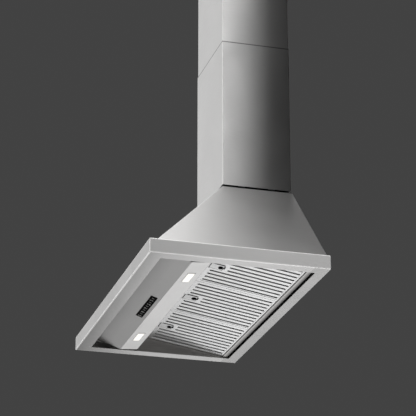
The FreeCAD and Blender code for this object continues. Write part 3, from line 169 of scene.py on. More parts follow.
def new_group(name, inputs, outputs):
    tree = bpy.data.node_groups.new(name, "ShaderNodeTree")
    for socket, (kind, value) in inputs.items():
        made = tree.interface.new_socket(socket, in_out="INPUT", socket_type=kind)
        if value is not None:
            made.default_value = value
    for socket in outputs:
        tree.interface.new_socket(socket, in_out="OUTPUT", socket_type="NodeSocketFloat")
    return tree, tree.nodes.new("NodeGroupInput").outputs, tree.nodes.new("NodeGroupOutput").inputs


def use_group(tree, group, **inputs):
    return node(tree, "ShaderNodeGroup", {"node_tree": group}, **inputs).outputs


print("group helpers ready")

# %% [markdown]
# Stainless sheet is brushed by a belt, which leaves long straight scratches. A noise texture squeezed
# across the strokes and drawn out along them looks like that. The strokes run along the hood on its
# front and underside, and along the depth on its sides, so the group makes both patterns and picks one
# by the direction in which the surface faces.

# %% Group for brushed strokes
STROKE_LENGTH = 30.0        # features per metre along a stroke
STROKE_WIDTH = 1600.0       # features per metre across the strokes of a finely brushed sheet
SIDEWAYS = 0.5              # a face with more X than this in its normal looks to a side
STREAK_GAIN = 2.0           # how far the noise is stretched about its middle
STREAK_OFFSET = (1 - STREAK_GAIN) / 2


def make_brushed_strokes():
    tree, given, out = new_group("brushed_strokes", {
        "Position": ("NodeSocketVector", None), "Facing": ("NodeSocketVector", None),
        "Strokes": ("NodeSocketFloat", STROKE_WIDTH)}, ["Streak"])
    along_x = node(tree, "ShaderNodeCombineXYZ", X=STROKE_LENGTH, Y=given["Strokes"], Z=given["Strokes"])
    along_y = node(tree, "ShaderNodeCombineXYZ", X=given["Strokes"], Y=STROKE_LENGTH, Z=given["Strokes"])
    patterns = []
    for stretch in (along_x, along_y):
        place = vector_maths(tree, "MULTIPLY", given["Position"], stretch.outputs[0])[0]
        noise = node(tree, "ShaderNodeTexNoise", Vector=place, Scale=1.0, Detail=4.0, Roughness=0.62)
        patterns.append(noise.outputs[0])
    facing = split(tree, given["Facing"])
    sideways = maths(tree, "GREATER_THAN", maths(tree, "ABSOLUTE", facing["X"]), SIDEWAYS)
    mix = node(tree, "ShaderNodeMix", {"data_type": "FLOAT"}, Factor=sideways, A=patterns[0], B=patterns[1])
    contrast = maths(tree, "MULTIPLY_ADD", mix.outputs[0], STREAK_GAIN, STREAK_OFFSET)
    feed(tree, out["Streak"], node(tree, "ShaderNodeClamp", Value=contrast).outputs[0])
    return tree


brushed_strokes = make_brushed_strokes()
print("group:", brushed_strokes.name)

# %% [markdown]
# Wiped metal and handled plastic are never quite even: cloth leaves soft clouds a hand wide. Low,
# smooth noise gives them. The clouds change the roughness a little. Only the floor and the cards of
# the stage take their colour from them.

# %% Group for wiped clouds
CLOUDS = 7.0                # clouds per metre on a wide sheet


def make_wiped_clouds():
    tree, given, out = new_group("wiped_clouds", {
        "Position": ("NodeSocketVector", None), "Clouds": ("NodeSocketFloat", CLOUDS)}, ["Haze"])
    noise = node(tree, "ShaderNodeTexNoise", Vector=given["Position"], Scale=given["Clouds"], Detail=3.0,
                 Roughness=0.5, Distortion=0.4)
    feed(tree, out["Haze"], fade(tree, noise.outputs[0], first=0.3, last=0.7))
    return tree


wiped_clouds = make_wiped_clouds()
print("group:", wiped_clouds.name)

# %% [markdown]
# A bend of folded sheet catches the lights in a thin bright line, and here that line is a painted
# highlight. The rim and the chimney are square to the axes, so their bends are the only places whose
# normal leans away from all three. The mask is 1 there and 0 on the flats, and it needs no marks on
# the mesh.

# %% Group for painted bend highlights
FLAT = 0.995                # a normal with this much of one axis is on a flat
BENT = 0.96                 # and with this much at most, on a bend


# Mask of the painted highlight along bends.
def make_bend_highlights():
    tree, given, out = new_group("bend_highlights", {"Facing": ("NodeSocketVector", None)}, ["Bend"])
    facing = split(tree, given["Facing"])
    shares = [maths(tree, "ABSOLUTE", facing[axis]) for axis in "XYZ"]
    feed(tree, out["Bend"], fade(tree, chain(tree, "MAXIMUM", *shares), FLAT, BENT))
    return tree


bend_highlights = make_bend_highlights()
print("group:", bend_highlights.name)

# %% [markdown]
# Moulded plastic, enamel and cast metal have a skin of tiny pits, from the mould or the paint. Fine
# noise gives the height of that skin, and a coarser one speckles its colour. Both are shared by every
# such finish, each with its own pit size.

# %% Group for a moulded skin
FINE_PITS = 900.0           # pits per metre
SPECKLE_SHARE = 0.12        # speckles for each pit


def make_moulded_skin():
    tree, given, out = new_group("moulded_skin", {
        "Position": ("NodeSocketVector", None), "Pits": ("NodeSocketFloat", FINE_PITS)},
        ["Height", "Speckle"])
    fine = node(tree, "ShaderNodeTexNoise", Vector=given["Position"], Scale=given["Pits"], Detail=2.0,
                Roughness=0.6)
    coarse = node(tree, "ShaderNodeTexNoise", Vector=given["Position"],
                  Scale=maths(tree, "MULTIPLY", given["Pits"], SPECKLE_SHARE), Detail=2.0, Roughness=0.5)
    feed(tree, out["Height"], fine.outputs[0])
    feed(tree, out["Speckle"], coarse.outputs[0])
    return tree


moulded_skin = make_moulded_skin()
print("group:", moulded_skin.name)

# %% [markdown]
# Each finish is a material with one Principled shader. `start_material` makes it and returns the
# shader with the object's own coordinates. Those coordinates belong to the piece, so the grain stays
# on a filter while it tilts. A value that is the same all over is set on the shader's own socket. What
# changes over the surface is colour, roughness and relief, and each has a helper that links it.

# %% Helpers that start and fill a material


def start_material(name, **constants):
    made = bpy.data.materials.new(name)
    made.use_nodes = True
    tree = made.node_tree
    shader = tree.nodes["Principled BSDF"]
    for key, value in constants.items():
        shader.inputs[key.replace("_", " ")].default_value = value
    place = tree.nodes.new("ShaderNodeTexCoord").outputs
    return made, tree, shader, place


def set_colour(tree, shader, mask, at_0, at_1):
    feed(tree, shader.inputs["Base Color"], blend(tree, mask, at_0, at_1))


def set_roughness(tree, shader, value, *layers):
    """A base value plus each mask times its own amount."""
    for mask, amount in layers:
        value = maths(tree, "MULTIPLY_ADD", mask, amount, value)
    feed(tree, shader.inputs["Roughness"], value)


def set_relief(tree, shader, height, depth):
    made = node(tree, "ShaderNodeBump", Height=height, Distance=depth, Strength=1.0)
    feed(tree, shader.inputs["Normal"], made.outputs[0])


print("material helpers ready")

# %% [markdown]
# Brushed stainless steel covers most of the hood. It is plain metal with a middling roughness. The
# strokes make some lines a shade lighter and smoother than others, and a very low relief spreads each
# highlight across them, which is what makes brushed metal glow rather than mirror. All brushed pieces
# use this one function. A piece may add painted highlights on its bends and edges, and painted shades,
# which are given as functions: `edges` makes a mask, and `shade` makes a mask and says the grey that
# belongs to it.

# %% Brushed steel
STROKE_CONTRAST = 0.035     # how much paler or darker a stroke is
STROKE_RELIEF = 0.002 * MM
STREAK_GLOSS = 0.08         # roughness between the dullest and the smoothest stroke
HAZE_DULL = 0.05            # roughness that a wiped cloud adds
HIGHLIGHT_GREY = 0.97               # grey of a painted highlight


def brushed_steel(name, level, roughness, strokes=STROKE_WIDTH, contrast=STROKE_CONTRAST, warmth=0.0,
                  bends=False, edges=None, shade=None):
    made, tree, shader, place = start_material(name, Metallic=1.0)
    streak = use_group(tree, brushed_strokes, Position=place["Object"], Facing=place["Normal"],
                       Strokes=strokes)["Streak"]
    haze = use_group(tree, wiped_clouds, Position=place["Object"])["Haze"]
    colour = blend(tree, streak, grey(level * (1 - contrast), warmth), grey(level * (1 + contrast), warmth))
    # A painted highlight along the bends.
    if bends:
        bend = use_group(tree, bend_highlights, Facing=place["Normal"])["Bend"]
        colour = blend(tree, bend, colour, grey(HIGHLIGHT_GREY, warmth))
    if edges:
        colour = blend(tree, edges(tree, place), colour, grey(HIGHLIGHT_GREY, warmth))
    if shade:
        mask, shaded_level = shade(tree, place)
        colour = blend(tree, mask, colour, grey(shaded_level, warmth))
    feed(tree, shader.inputs["Base Color"], colour)
    set_roughness(tree, shader, roughness + STREAK_GLOSS / 2, (streak, -STREAK_GLOSS), (haze, HAZE_DULL))
    set_relief(tree, shader, streak, STROKE_RELIEF)
    return made


print("grey of rubbed steel:", HIGHLIGHT_GREY)

# %% [markdown]
# Plain sheet parts share one finish. The pyramid's wide faces have the same grey but are duller, which
# spreads what they reflect into an even run from light to dark.

# %% Sheet steel
SHEET = {"level": 0.66, "roughness": 0.33, "warmth": 0.008}
DULL_ROUGHNESS = 0.46

sheet_steel = brushed_steel("sheet_steel", **SHEET)
canopy_steel = brushed_steel("canopy_steel", **{**SHEET, "roughness": DULL_ROUGHNESS})
print("sheet finishes:", sheet_steel.name, canopy_steel.name)

# %% [markdown]
# The chimney is two sleeves, one inside the other, folded from the same sheet as the rest, with a
# painted highlight along their folds. Where the lower sleeve ends, the gap between the sleeves shows a
# fine dark line of shadow. Its thin cut edge is too small to draw that line by itself, so the last few
# millimetres of the sleeve are painted darker, a painted shadow.

# %% Chimney steel
SEAM_LINE = 3 * MM
SEAM_LEVEL = 0.23


# A painted shadow along the top of the lower sleeve.
def seam_shade(tree, place):
    line_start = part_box("lower_chimney")[1].z - SEAM_LINE
    return maths(tree, "GREATER_THAN", split(tree, place["Object"])["Z"], line_start), SEAM_LEVEL


chimney_steel = brushed_steel("chimney_steel", **SHEET, bends=True)
seam_steel = brushed_steel("seam_steel", **SHEET, bends=True, shade=seam_shade)
print("chimney finishes:", chimney_steel.name, seam_steel.name)

# %% [markdown]
# All the rim's outer edges carry a painted highlight, the bright line that its folds show. The bend of
# the sheet is narrower than that line looks, so the highlight also runs a few millimetres on to each
# face. Two outer faces meet where a spot is near two of the rim's outer planes at once: near one side,
# near the front, or near the top or bottom.

# %% Painted highlights on the rim's edges
EDGE_HIGHLIGHT = 4 * MM           # the brightness has faded out this far from an edge
EDGE_BRIGHT = 1 * MM        # and is full up to here


# A painted highlight along the rim's outer edges.
def rim_edge_highlights(tree, place):
    rim_low, rim_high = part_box("rim_frame")
    spot = split(tree, place["Object"])
    from_side = maths(tree, "SUBTRACT", rim_high.x, maths(tree, "ABSOLUTE", spot["X"]))
    from_front = maths(tree, "SUBTRACT", spot["Y"], rim_low.y)
    from_level = maths(tree, "MINIMUM", maths(tree, "SUBTRACT", spot["Z"], rim_low.z),
                       maths(tree, "SUBTRACT", rim_high.z, spot["Z"]))
    gaps = (from_side, from_front, from_level)
    side, front, level = (fade(tree, gap, EDGE_HIGHLIGHT, EDGE_BRIGHT) for gap in gaps)
    pairs = ((side, front), (side, level), (front, level))
    return chain(tree, "MAXIMUM", *(maths(tree, "MULTIPLY", *pair) for pair in pairs))


print("edges rubbed over", round(EDGE_HIGHLIGHT / MM), "mm")

# %% [markdown]
# The underside of the rim carries a painted shade, darkest along the front, less so towards the
# filters, and fading to plain steel along the two side flanges. The flange along the wall is half
# shaded. The outermost edge at the front is kept free, for its painted highlight.

# %% Rim steel
UNDERSIDE = -0.9            # a face with less Z than this in its normal looks down
FLANGE_LEVEL = 0.32         # grey of the shade
FRONT_FLANGE = 40 * MM
FRONT_SHARES = (0.95, 0.52)  # strength of the shade at the outer and the inner edge of that flange
SIDE_FADE = (50 * MM, 190 * MM)  # from the front, where the shade starts and ends its fading
BACK_FLANGE = 45 * MM
BACK_SHARE = 0.5            # strength of the shade along the wall


# A painted shade under the rim, darkest along the front.
def flange_shade(tree, place):
    rim_low, rim_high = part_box("rim_frame")
    depth = split(tree, place["Object"])["Y"]
    along_side = fade(tree, depth, rim_low.y + SIDE_FADE[1], rim_low.y + SIDE_FADE[0])
    inward = fade(tree, depth, rim_low.y + EDGE_HIGHLIGHT, rim_low.y + FRONT_FLANGE, *FRONT_SHARES)
    front = maths(tree, "MULTIPLY", along_side, inward)
    near_wall = maths(tree, "GREATER_THAN", depth, rim_high.y - BACK_FLANGE)
    darkest = maths(tree, "MAXIMUM", front, maths(tree, "MULTIPLY", near_wall, BACK_SHARE))
    under = maths(tree, "LESS_THAN", split(tree, place["Normal"])["Z"], UNDERSIDE)
    inner = maths(tree, "GREATER_THAN", maths(tree, "SUBTRACT", depth, rim_low.y), EDGE_HIGHLIGHT)
    return chain(tree, "MULTIPLY", darkest, under, inner), FLANGE_LEVEL


rim_steel = brushed_steel("rim_steel", level=0.55, roughness=0.33, warmth=SHEET["warmth"], bends=True,
                          edges=rim_edge_highlights, shade=flange_shade)
print("rim finish:", rim_steel.name)

# %% [markdown]
# The control panel climbs from the lamps to the front and ends behind the rim's flange. A painted
# shade makes it darkest where it goes in there, under that flange.

# %% Panel steel
PANEL_FADE = (50 * MM, 90 * MM)  # from the front of the housing, full shade to none
PANEL_LEVEL = 0.55


# A painted shade where the panel goes in under the rim's flange.
def panel_shade(tree, place):
    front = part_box("control_housing")[0].y
    depth = split(tree, place["Object"])["Y"]
    return fade(tree, depth, front + PANEL_FADE[1], front + PANEL_FADE[0]), PANEL_LEVEL


panel_steel = brushed_steel("panel_steel", **SHEET, shade=panel_shade)
print("panel finish:", panel_steel.name)

# %% [markdown]
# The filters' rear edges lie on a rolled ledge. A painted shadow marks the joint along them, and a
# painted shade darkens the roll as it turns up to the wall. Both follow from the depth alone. The rail
# that keeps the filters' latches is of the same steel, with no such shade.

# %% Ledge and rail steel
LEDGE = {"level": 0.50, "roughness": 0.36, "warmth": 0.02}
LEDGE_LINE = 1.5 * MM
LEDGE_ROLL = (4 * MM, 15 * MM)  # from the front of the ledge, where the roll starts and is darkest
LEDGE_DARK = 0.03


# A painted shadow along the joint and a painted shade across the roll.
def ledge_shade(tree, place):
    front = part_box("filter_ledge")[0].y
    depth = split(tree, place["Object"])["Y"]
    joint = maths(tree, "LESS_THAN", depth, front + LEDGE_LINE)
    roll = fade(tree, depth, front + LEDGE_ROLL[0], front + LEDGE_ROLL[1])
    return maths(tree, "MAXIMUM", joint, roll), LEDGE_DARK


ledge_steel = brushed_steel("ledge_steel", **LEDGE, shade=ledge_shade)
rail_steel = brushed_steel("rail_steel", **LEDGE)
print("ledge finishes:", ledge_steel.name, rail_steel.name)

# %% [markdown]
# Filters are paler than the sheets round them. Their rear baffles and the liners beside them are
# painted darker, a painted shade for the dark inside the hood. A latch is a plate let into its filter,
# with a fine gap all round that looks like a drawn line. The real gap is thinner than a pixel of most
# pictures, so the rim of the plate itself is dark, a painted shadow of that gap. Each plate has its own
# material, because the line follows that plate's own box.

# %% Filter, latch and liner steel
FILTER_STROKES = 1200.0
LINER_STROKES = 500.0
OUTLINE = 1.6 * MM
OUTLINE_LEVEL = 0.05
PLATE_FRONT = 4 * MM        # front edge of the filter to its latch plate


# A painted shadow of the gap round each latch plate.
def outline_shade(name):
    def shade(tree, place):
        plate_low, plate_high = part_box(f"filter_{name}_latch")
        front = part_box(f"filter_{name}_frame")[0].y + PLATE_FRONT
        spot = split(tree, place["Object"])
        across = band(tree, spot["X"], plate_low.x + OUTLINE, plate_high.x - OUTLINE)
        deep = band(tree, spot["Y"], front + OUTLINE, plate_high.y - OUTLINE)
        return maths(tree, "SUBTRACT", 1.0, maths(tree, "MULTIPLY", across, deep)), OUTLINE_LEVEL
    return shade


filter_steel = brushed_steel("filter_steel", level=0.88, roughness=0.36, strokes=FILTER_STROKES)
# Rear baffles and liners: painted shade, darker than the filters.
shaded_baffle_steel = brushed_steel("shaded_baffle_steel", level=0.26, roughness=0.40, strokes=FILTER_STROKES)
shaded_liner_steel = brushed_steel("shaded_liner_steel", level=0.20, roughness=0.42, strokes=LINER_STROKES, contrast=0.10,
                            warmth=0.03)
latch_steel = {name: brushed_steel(f"latch_steel_{name}", level=0.74, roughness=0.36,
                                   strokes=FILTER_STROKES, shade=outline_shade(name)) for name in FILTERS}
print("latch finishes:", ", ".join(made.name for made in latch_steel.values()))

# %% [markdown]
# Hidden sheets are galvanised: zinc freezes on them in flat crystals, each a slightly different grey.
# Cells of a Voronoi texture are such crystals, about a centimetre wide. The same function, much darker,
# makes the lid of the pyramid, a painted shade for the dark gap under the chimney.

# %% Galvanised steel
SPANGLE = 90.0              # crystals per metre
CRYSTAL_GREYS = (0.88, 1.1)  # darkest and palest crystal, as shares of the level
CRYSTAL_DULL = 0.12         # roughness that the palest crystal adds
ZINC_ROUGHNESS = 0.36
ZINC_WARMTH = -0.015        # below zero, so a shade bluer than steel


def galvanised_steel(name, level):
    made, tree, shader, place = start_material(name, Metallic=1.0)
    cells = node(tree, "ShaderNodeTexVoronoi", Vector=place["Object"], Scale=SPANGLE)
    crystal = node(tree, "ShaderNodeSeparateColor", Color=cells.outputs["Color"]).outputs[0]
    haze = use_group(tree, wiped_clouds, Position=place["Object"])["Haze"]
    set_colour(tree, shader, crystal, *(grey(level * share, ZINC_WARMTH) for share in CRYSTAL_GREYS))
    set_roughness(tree, shader, ZINC_ROUGHNESS, (crystal, CRYSTAL_DULL), (haze, 0.06))
    return made


galvanised = galvanised_steel("galvanised", level=0.56)
# The pyramid's lid, painted near black as the shade in the gap under the chimney.
shade_dark_zinc = galvanised_steel("shade_dark_zinc", level=0.025)
print("galvanised finishes:", galvanised.name, shade_dark_zinc.name)

# %% [markdown]
# Small metal pieces, such as screws, bearings and castings, have a fine even skin instead of strokes.
# One function makes them, lighter or darker, smoother or rougher.

# %% Plain and cast metals
METAL_GREYS = (0.9, 1.08)   # darkest and palest speckle, as shares of the level


def fine_metal(name, level, roughness, pits, relief):
    made, tree, shader, place = start_material(name, Metallic=1.0)
    skin = use_group(tree, moulded_skin, Position=place["Object"], Pits=pits)
    haze = use_group(tree, wiped_clouds, Position=place["Object"], Clouds=40.0)["Haze"]
    set_colour(tree, shader, skin["Speckle"], *(grey(level * share) for share in METAL_GREYS))
    set_roughness(tree, shader, roughness, (haze, 0.1))
    set_relief(tree, shader, skin["Height"], relief)
    return made


fastener_steel = fine_metal("fastener_steel", level=0.52, roughness=0.28, pits=1500.0, relief=0.01 * MM)
shaft_steel = fine_metal("shaft_steel", level=0.66, roughness=0.16, pits=2500.0, relief=0.004 * MM)
mill_aluminium = fine_metal("mill_aluminium", level=0.78, roughness=0.30, pits=1800.0, relief=0.006 * MM)
cast_aluminium = fine_metal("cast_aluminium", level=0.62, roughness=0.42, pits=700.0, relief=0.05 * MM)
print("fine metals:", fastener_steel.name, shaft_steel.name, mill_aluminium.name, cast_aluminium.name)

# %% [markdown]
# Plastic, enamel and rubber differ from metal in one value, Metallic, and from each other in colour,
# gloss and the size of their pits.

# %% Plastics, enamel and rubber
DARKER, PALER = 0.86, 1.1   # speckles, as shares of the colour


def opaque(colour, share):
    return tuple(min(1.0, part * share) for part in colour) + (1.0,)


def moulded(name, colour, roughness, pits, relief, coat=0.0, gloss=0.5):
    made, tree, shader, place = start_material(name, Metallic=0.0, Coat_Weight=coat, Coat_Roughness=0.15,
                                               Specular_IOR_Level=gloss)
    skin = use_group(tree, moulded_skin, Position=place["Object"], Pits=pits)
    haze = use_group(tree, wiped_clouds, Position=place["Object"], Clouds=25.0)["Haze"]
    set_colour(tree, shader, skin["Speckle"], opaque(colour, DARKER), opaque(colour, PALER))
    set_roughness(tree, shader, roughness, (haze, 0.1))
    set_relief(tree, shader, skin["Height"], relief)
    return made


black_plastic = moulded("black_plastic", (0.003, 0.003, 0.003), roughness=0.50, pits=1200.0,
                        relief=0.02 * MM, gloss=0.01)
button_plastic = moulded("button_plastic", (0.004, 0.004, 0.0045), roughness=0.45, pits=1500.0,
                         relief=0.01 * MM, gloss=0.02)
casing_plastic = moulded("casing_plastic", (0.075, 0.077, 0.08), roughness=0.45, pits=800.0,
                         relief=0.05 * MM)
box_plastic = moulded("box_plastic", (0.72, 0.72, 0.69), roughness=0.42, pits=FINE_PITS,
                      relief=0.04 * MM)
motor_enamel = moulded("motor_enamel", (0.12, 0.125, 0.13), roughness=0.32, pits=500.0,
                       relief=0.05 * MM, coat=0.3)
mount_rubber = moulded("mount_rubber", (0.022, 0.022, 0.022), roughness=0.70, pits=FINE_PITS,
                       relief=0.06 * MM)
print("moulded finishes:", black_plastic.name, button_plastic.name, casing_plastic.name)

# %% [markdown]
# A circuit board is green lacquer on glass cloth, and its parts stand on it in other colours. Board
# and parts are one solid, so the colour is chosen by the distance from the board's far side: lacquer on
# the board and its low parts, dark plastic on what stands higher.

# %% Circuit boards
LACQUER = (0.015, 0.10, 0.035)
LACQUER_PALE = 1.6          # the palest threads of the cloth, as a share of that colour
PART_BLACK = (0.03, 0.03, 0.03)
CLOTH_THREADS = 900.0       # per metre
POWER_PARTS = 8 * MM        # parts of the power board stand higher than this
SWITCH_PARTS = 20 * MM      # and parts of the switch board higher than this


def circuit_board(name, axis, far_side, parts_start):
    made, tree, shader, place = start_material(name, Metallic=0.0, Coat_Weight=0.5)
    along = vector_maths(tree, "DOT_PRODUCT", place["Object"], axis)["Value"]
    part = maths(tree, "GREATER_THAN", maths(tree, "SUBTRACT", along, far_side), parts_start)
    weave = node(tree, "ShaderNodeTexNoise", Vector=place["Object"], Scale=CLOTH_THREADS, Detail=2.0)
    lacquer = blend(tree, weave.outputs[0], opaque(LACQUER, 1.0), opaque(LACQUER, LACQUER_PALE))
    set_colour(tree, shader, part, lacquer, opaque(PART_BLACK, 1.0))
    haze = use_group(tree, wiped_clouds, Position=place["Object"], Clouds=60.0)["Haze"]
    set_roughness(tree, shader, 0.3, (haze, 0.15))
    return made


power_far_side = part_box("power_board")[1].y
switch_far_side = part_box("switch_board")[0].z
boards = {
    "power_board": circuit_board("power_board_lacquer", (0, -1, 0), -power_far_side, POWER_PARTS),
    "switch_board": circuit_board("switch_board_lacquer", (0, 0, 1), switch_far_side, SWITCH_PARTS),
}
print("boards:", ", ".join(boards))

# %% [markdown]
# The lamps are on in the photograph. Their opal lens is white plastic that lets light through from a
# few diodes behind it, so it glows, less towards its rim. The glow stays below white, so that a lens
# keeps its cream colour in a picture.

# %% Lamp lenses
LENS_GLOW = 0.8
LENS_WHITE = (1.0, 0.97, 0.86)
LENS_RIM = 0.55             # glow at the rim, as a share of the middle's
RIM_POWER = 4.0             # how late towards the rim the glow falls
OPAL_GREYS = ((0.80, 0.79, 0.75, 1.0), (0.90, 0.89, 0.85, 1.0))


def opal_lens(name, middle, half_length, half_width):
    made, tree, shader, place = start_material(name, Metallic=0.0, Emission_Strength=LENS_GLOW)
    offset = split(tree, vector_maths(tree, "SUBTRACT", place["Object"], middle)[0])
    across = maths(tree, "POWER", maths(tree, "DIVIDE", offset["X"], half_length), 2.0)
    deep = maths(tree, "POWER", maths(tree, "DIVIDE", offset["Y"], half_width), 2.0)
    edge = maths(tree, "MINIMUM", maths(tree, "MAXIMUM", across, deep), 1.0)
    falling = maths(tree, "POWER", edge, RIM_POWER)
    glow = blend(tree, falling, opaque(LENS_WHITE, 1.0), opaque(LENS_WHITE, LENS_RIM))
    feed(tree, shader.inputs["Emission Color"], glow)
    skin = use_group(tree, moulded_skin, Position=place["Object"], Pits=1500.0)
    set_colour(tree, shader, skin["Speckle"], *OPAL_GREYS)
    set_roughness(tree, shader, 0.3, (skin["Speckle"], 0.1))
    return made


lenses = {}
for side in SIDES:
    name = f"lamp_lens_{side}"
    lens_low, lens_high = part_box(name)
    half = (lens_high - lens_low) / 2
    lenses[name] = opal_lens(f"opal_lens_{side}", (lens_low + lens_high) / 2, half.x, half.y)
print("lens half size in mm:", round(half.x / MM, 1), round(half.y / MM, 1))

# %% [markdown]
# Now every node gets its finish. The list goes by the start of the name, and the longest start that
# fits wins. What no start fits, such as a lamp frame, is plain sheet steel. A node keeps its mesh and
# its place. Only the material in its slot changes.

# %% Hand out the finishes
FINISHES = {
    "rim_frame": rim_steel, "canopy_shell": canopy_steel, "top_plate": shade_dark_zinc,
    "lower_chimney": seam_steel, "upper_chimney": chimney_steel, "control_housing": panel_steel,
    "side_liner": shaded_liner_steel, "filter_ledge": ledge_steel, "filter_rail": rail_steel,
    "back_panel": galvanised, "outlet_collar": galvanised, "motor_spider": galvanised,
    "chimney_bracket": galvanised, "chimney_clips": galvanised, "blower_wheel": galvanised,
    "machine_screws": fastener_steel, "case_screws": fastener_steel, "chimney_screws": fastener_steel,
    "motor_shaft": shaft_steel, "motor_bearings": shaft_steel, "flap_pin": shaft_steel,
    "damper_flap": mill_aluminium, "lamp_heat_sink": cast_aluminium,
    "motor_body": motor_enamel, "motor_mounts": mount_rubber, "blower_casing": casing_plastic,
    "button": button_plastic, "button_bezel": black_plastic, "cable_gland": black_plastic,
    "electronics_box": box_plastic, "electronics_cover": box_plastic, **boards, **lenses,
}
for name in FILTERS:
    FINISHES[f"filter_{name}"] = filter_steel
    FINISHES[f"filter_{name}_latch"] = latch_steel[name]
    FINISHES[f"filter_{name}_latch_grip"] = black_plastic
    FINISHES[f"filter_{name}_rear_baffle"] = shaded_baffle_steel


def finish_of(name):
    starts = [start for start in FINISHES if name.startswith(start)]
    return FINISHES[max(starts, key=len)] if starts else sheet_steel


for name, piece in nodes.items():
    piece.data.materials.clear()
    piece.data.materials.append(finish_of(name))
print("finishes in use:", len({finish_of(name).name for name in nodes}))

# %% [markdown]
# Each button carries two small prints: a pale one, which is a lamp, a nought for off or a speed, and a
# dimmer dash beside it. Real prints are ink. Here each is a very thin raised shape, so that it is there
# in the mesh as well. A print needs the middle of its cap and the way the cap faces. The joint that
# presses the button gives that way, and the cap's own corners give the middle. The print then rides on
# its button, so that it is pressed too.

# %% Where a cap faces
CAP_LAYER = 0.05 * MM       # corners this close to the top belong to the flat of the cap
joints = {joint["name"]: joint for joint in frame["record"]["behaviour"]["joints"]}


def cap_place(name):
    """Turns a shape drawn flat, with its foot down, so that it lies on the cap."""
    out = -Vector(joints[f"button_{name}_press"]["axis"]).normalized()
    corners = [corner.co for corner in nodes[f"button_{name}"].data.vertices]
    top = max(corner.dot(out) for corner in corners)
    flat = [corner for corner in corners if corner.dot(out) > top - CAP_LAYER]
    right = Vector((1, 0, 0))
    up = out.cross(right)
    turn = Matrix((right, up, out)).transposed().to_4x4()
    return Matrix.Translation(sum(flat, Vector()) / len(flat)) @ turn


print("caps face:", [round(v, 3) for v in cap_place("off").to_3x3().col[2]])

# %% [markdown]
# A print is drawn flat as a list of strokes, each a line of points. Arcs come from one function, so
# that a figure needs only its middles and radii. All points are in halves of the print's height.

# %% Shapes of the prints
RING_POINTS = 20


def arc(x, y, radius, first, last):
    turns = [math.radians(first + (last - first) * i / RING_POINTS) for i in range(RING_POINTS + 1)]
    return [(x + radius * math.cos(turn), y + radius * math.sin(turn)) for turn in turns]


MARKS = {
    "light": [arc(0, 0.2, 0.62, -60, 240), [(-0.28, -0.62), (0.28, -0.62)],
              [(-0.22, -0.95), (0.22, -0.95)]],
    "off": [arc(0, 0.35, 0.5, 0, 180) + arc(0, -0.35, 0.5, 180, 360) + [(0.5, 0.35)]],
    "low": [[(-0.35, 0.6), (0, 0.95), (0, -0.95)]],
    "medium": [arc(0, 0.42, 0.5, 160, -40) + [(-0.5, -0.95), (0.55, -0.95)]],
    "high": [arc(0, 0.45, 0.46, 150, -80), arc(0, -0.45, 0.52, 80, -150)],
}
DASH = [[(0.12, 0.75), (-0.12, -0.75)]]
print("marks:", ", ".join(MARKS))

# %% [markdown]
# Every stroke becomes a thin bar with round ends: a bar between each two points and a disc at each
# point. The bars and discs overlap, which ink does too, and all stay as thin as a print. The height is
# extruded from the flat outline, so each bar is a closed solid.

# %% Bars of ink
MARK_HALF = 4.6 * MM        # half the height of a print
STROKE_HALF = 0.7 * MM
INK = 0.06 * MM
DISC_SIDES = 12


def thin_bar(mesh, first, last):
    """One bar of ink with a disc at each end."""
    (x, y), (u, v) = first, last
    way = Vector((u - x, v - y, 0)).normalized() * STROKE_HALF
    side = Vector((-way.y, way.x, 0))
    start, end = Vector((x, y, 0)), Vector((u, v, 0))
    outlines = [[start + side, start - side, end - side, end + side]]
    for middle in (start, end):
        outlines.append([middle + Vector((math.cos(turn), math.sin(turn), 0)) * STROKE_HALF
                         for turn in (2 * math.pi * i / DISC_SIDES for i in range(DISC_SIDES))])
    for outline in outlines:
        face = mesh.faces.new([mesh.verts.new(point) for point in outline])
        grown = bmesh.ops.extrude_face_region(mesh, geom=[face])["geom"]
        raised = [corner for corner in grown if isinstance(corner, bmesh.types.BMVert)]
        bmesh.ops.translate(mesh, vec=(0, 0, INK), verts=raised)


print("ink is", round(INK / MM, 2), "mm thick")

# %% [markdown]
# The bars of one print are one mesh, laid on the cap and made to ride on the button. The mark stands on
# one side of the cap's middle and the dash on the other.

# %% Print the buttons
MARK_SHIFT = 8.9 * MM       # middle of the cap to either print
INK_SKIN = {"roughness": 0.50, "pits": 2500.0, "relief": 0.01 * MM}
mark_print = moulded("mark_print", (0.86, 0.86, 0.83), **INK_SKIN)
dash_print = moulded("dash_print", (0.50, 0.50, 0.48), **INK_SKIN)


def print_mark(kind, name, strokes, shift, ink):
    shape = bmesh.new()
    for points in strokes:
        scaled = [(shift + x * MARK_HALF, y * MARK_HALF) for x, y in points]
        for first, last in zip(scaled, scaled[1:]):
            thin_bar(shape, first, last)
    bmesh.ops.recalc_face_normals(shape, faces=shape.faces)
    shape.transform(cap_place(name))
    mesh = bpy.data.meshes.new(f"{kind}_{name}")
    shape.to_mesh(mesh)
    shape.free()
    mesh.materials.append(ink)
    mark = bpy.data.objects.new(f"{kind}_{name}", mesh)
    bpy.context.scene.collection.objects.link(mark)
    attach(mark, f"button_{name}")


for name, strokes in MARKS.items():
    print_mark("mark", name, strokes, -MARK_SHIFT, mark_print)
    print_mark("dash", name, DASH, MARK_SHIFT, dash_print)
print("prints:", 2 * len(MARKS))

# %% [markdown]
# The floor is one very large pale plane, well below the hood, because the hood hangs on a wall. It
# lights the underside from below, as a kitchen floor does. It is stage, not part of the object. Light
# Path lets a camera see it a little brighter than it is lit, with no more light on the hood. Backfacing
# lets a camera that stands below the floor look through it, to show the underside of the hood.

# %% Floor
FLOOR_DEPTH = 1.9           # the rim hangs this far above the floor
FLOOR_SIZE = 400.0          # large enough to look endless
FLOOR_GREYS = (0.70, 0.74)
FLOOR_GLOW = 0.22           # what a camera sees on top of the lit floor


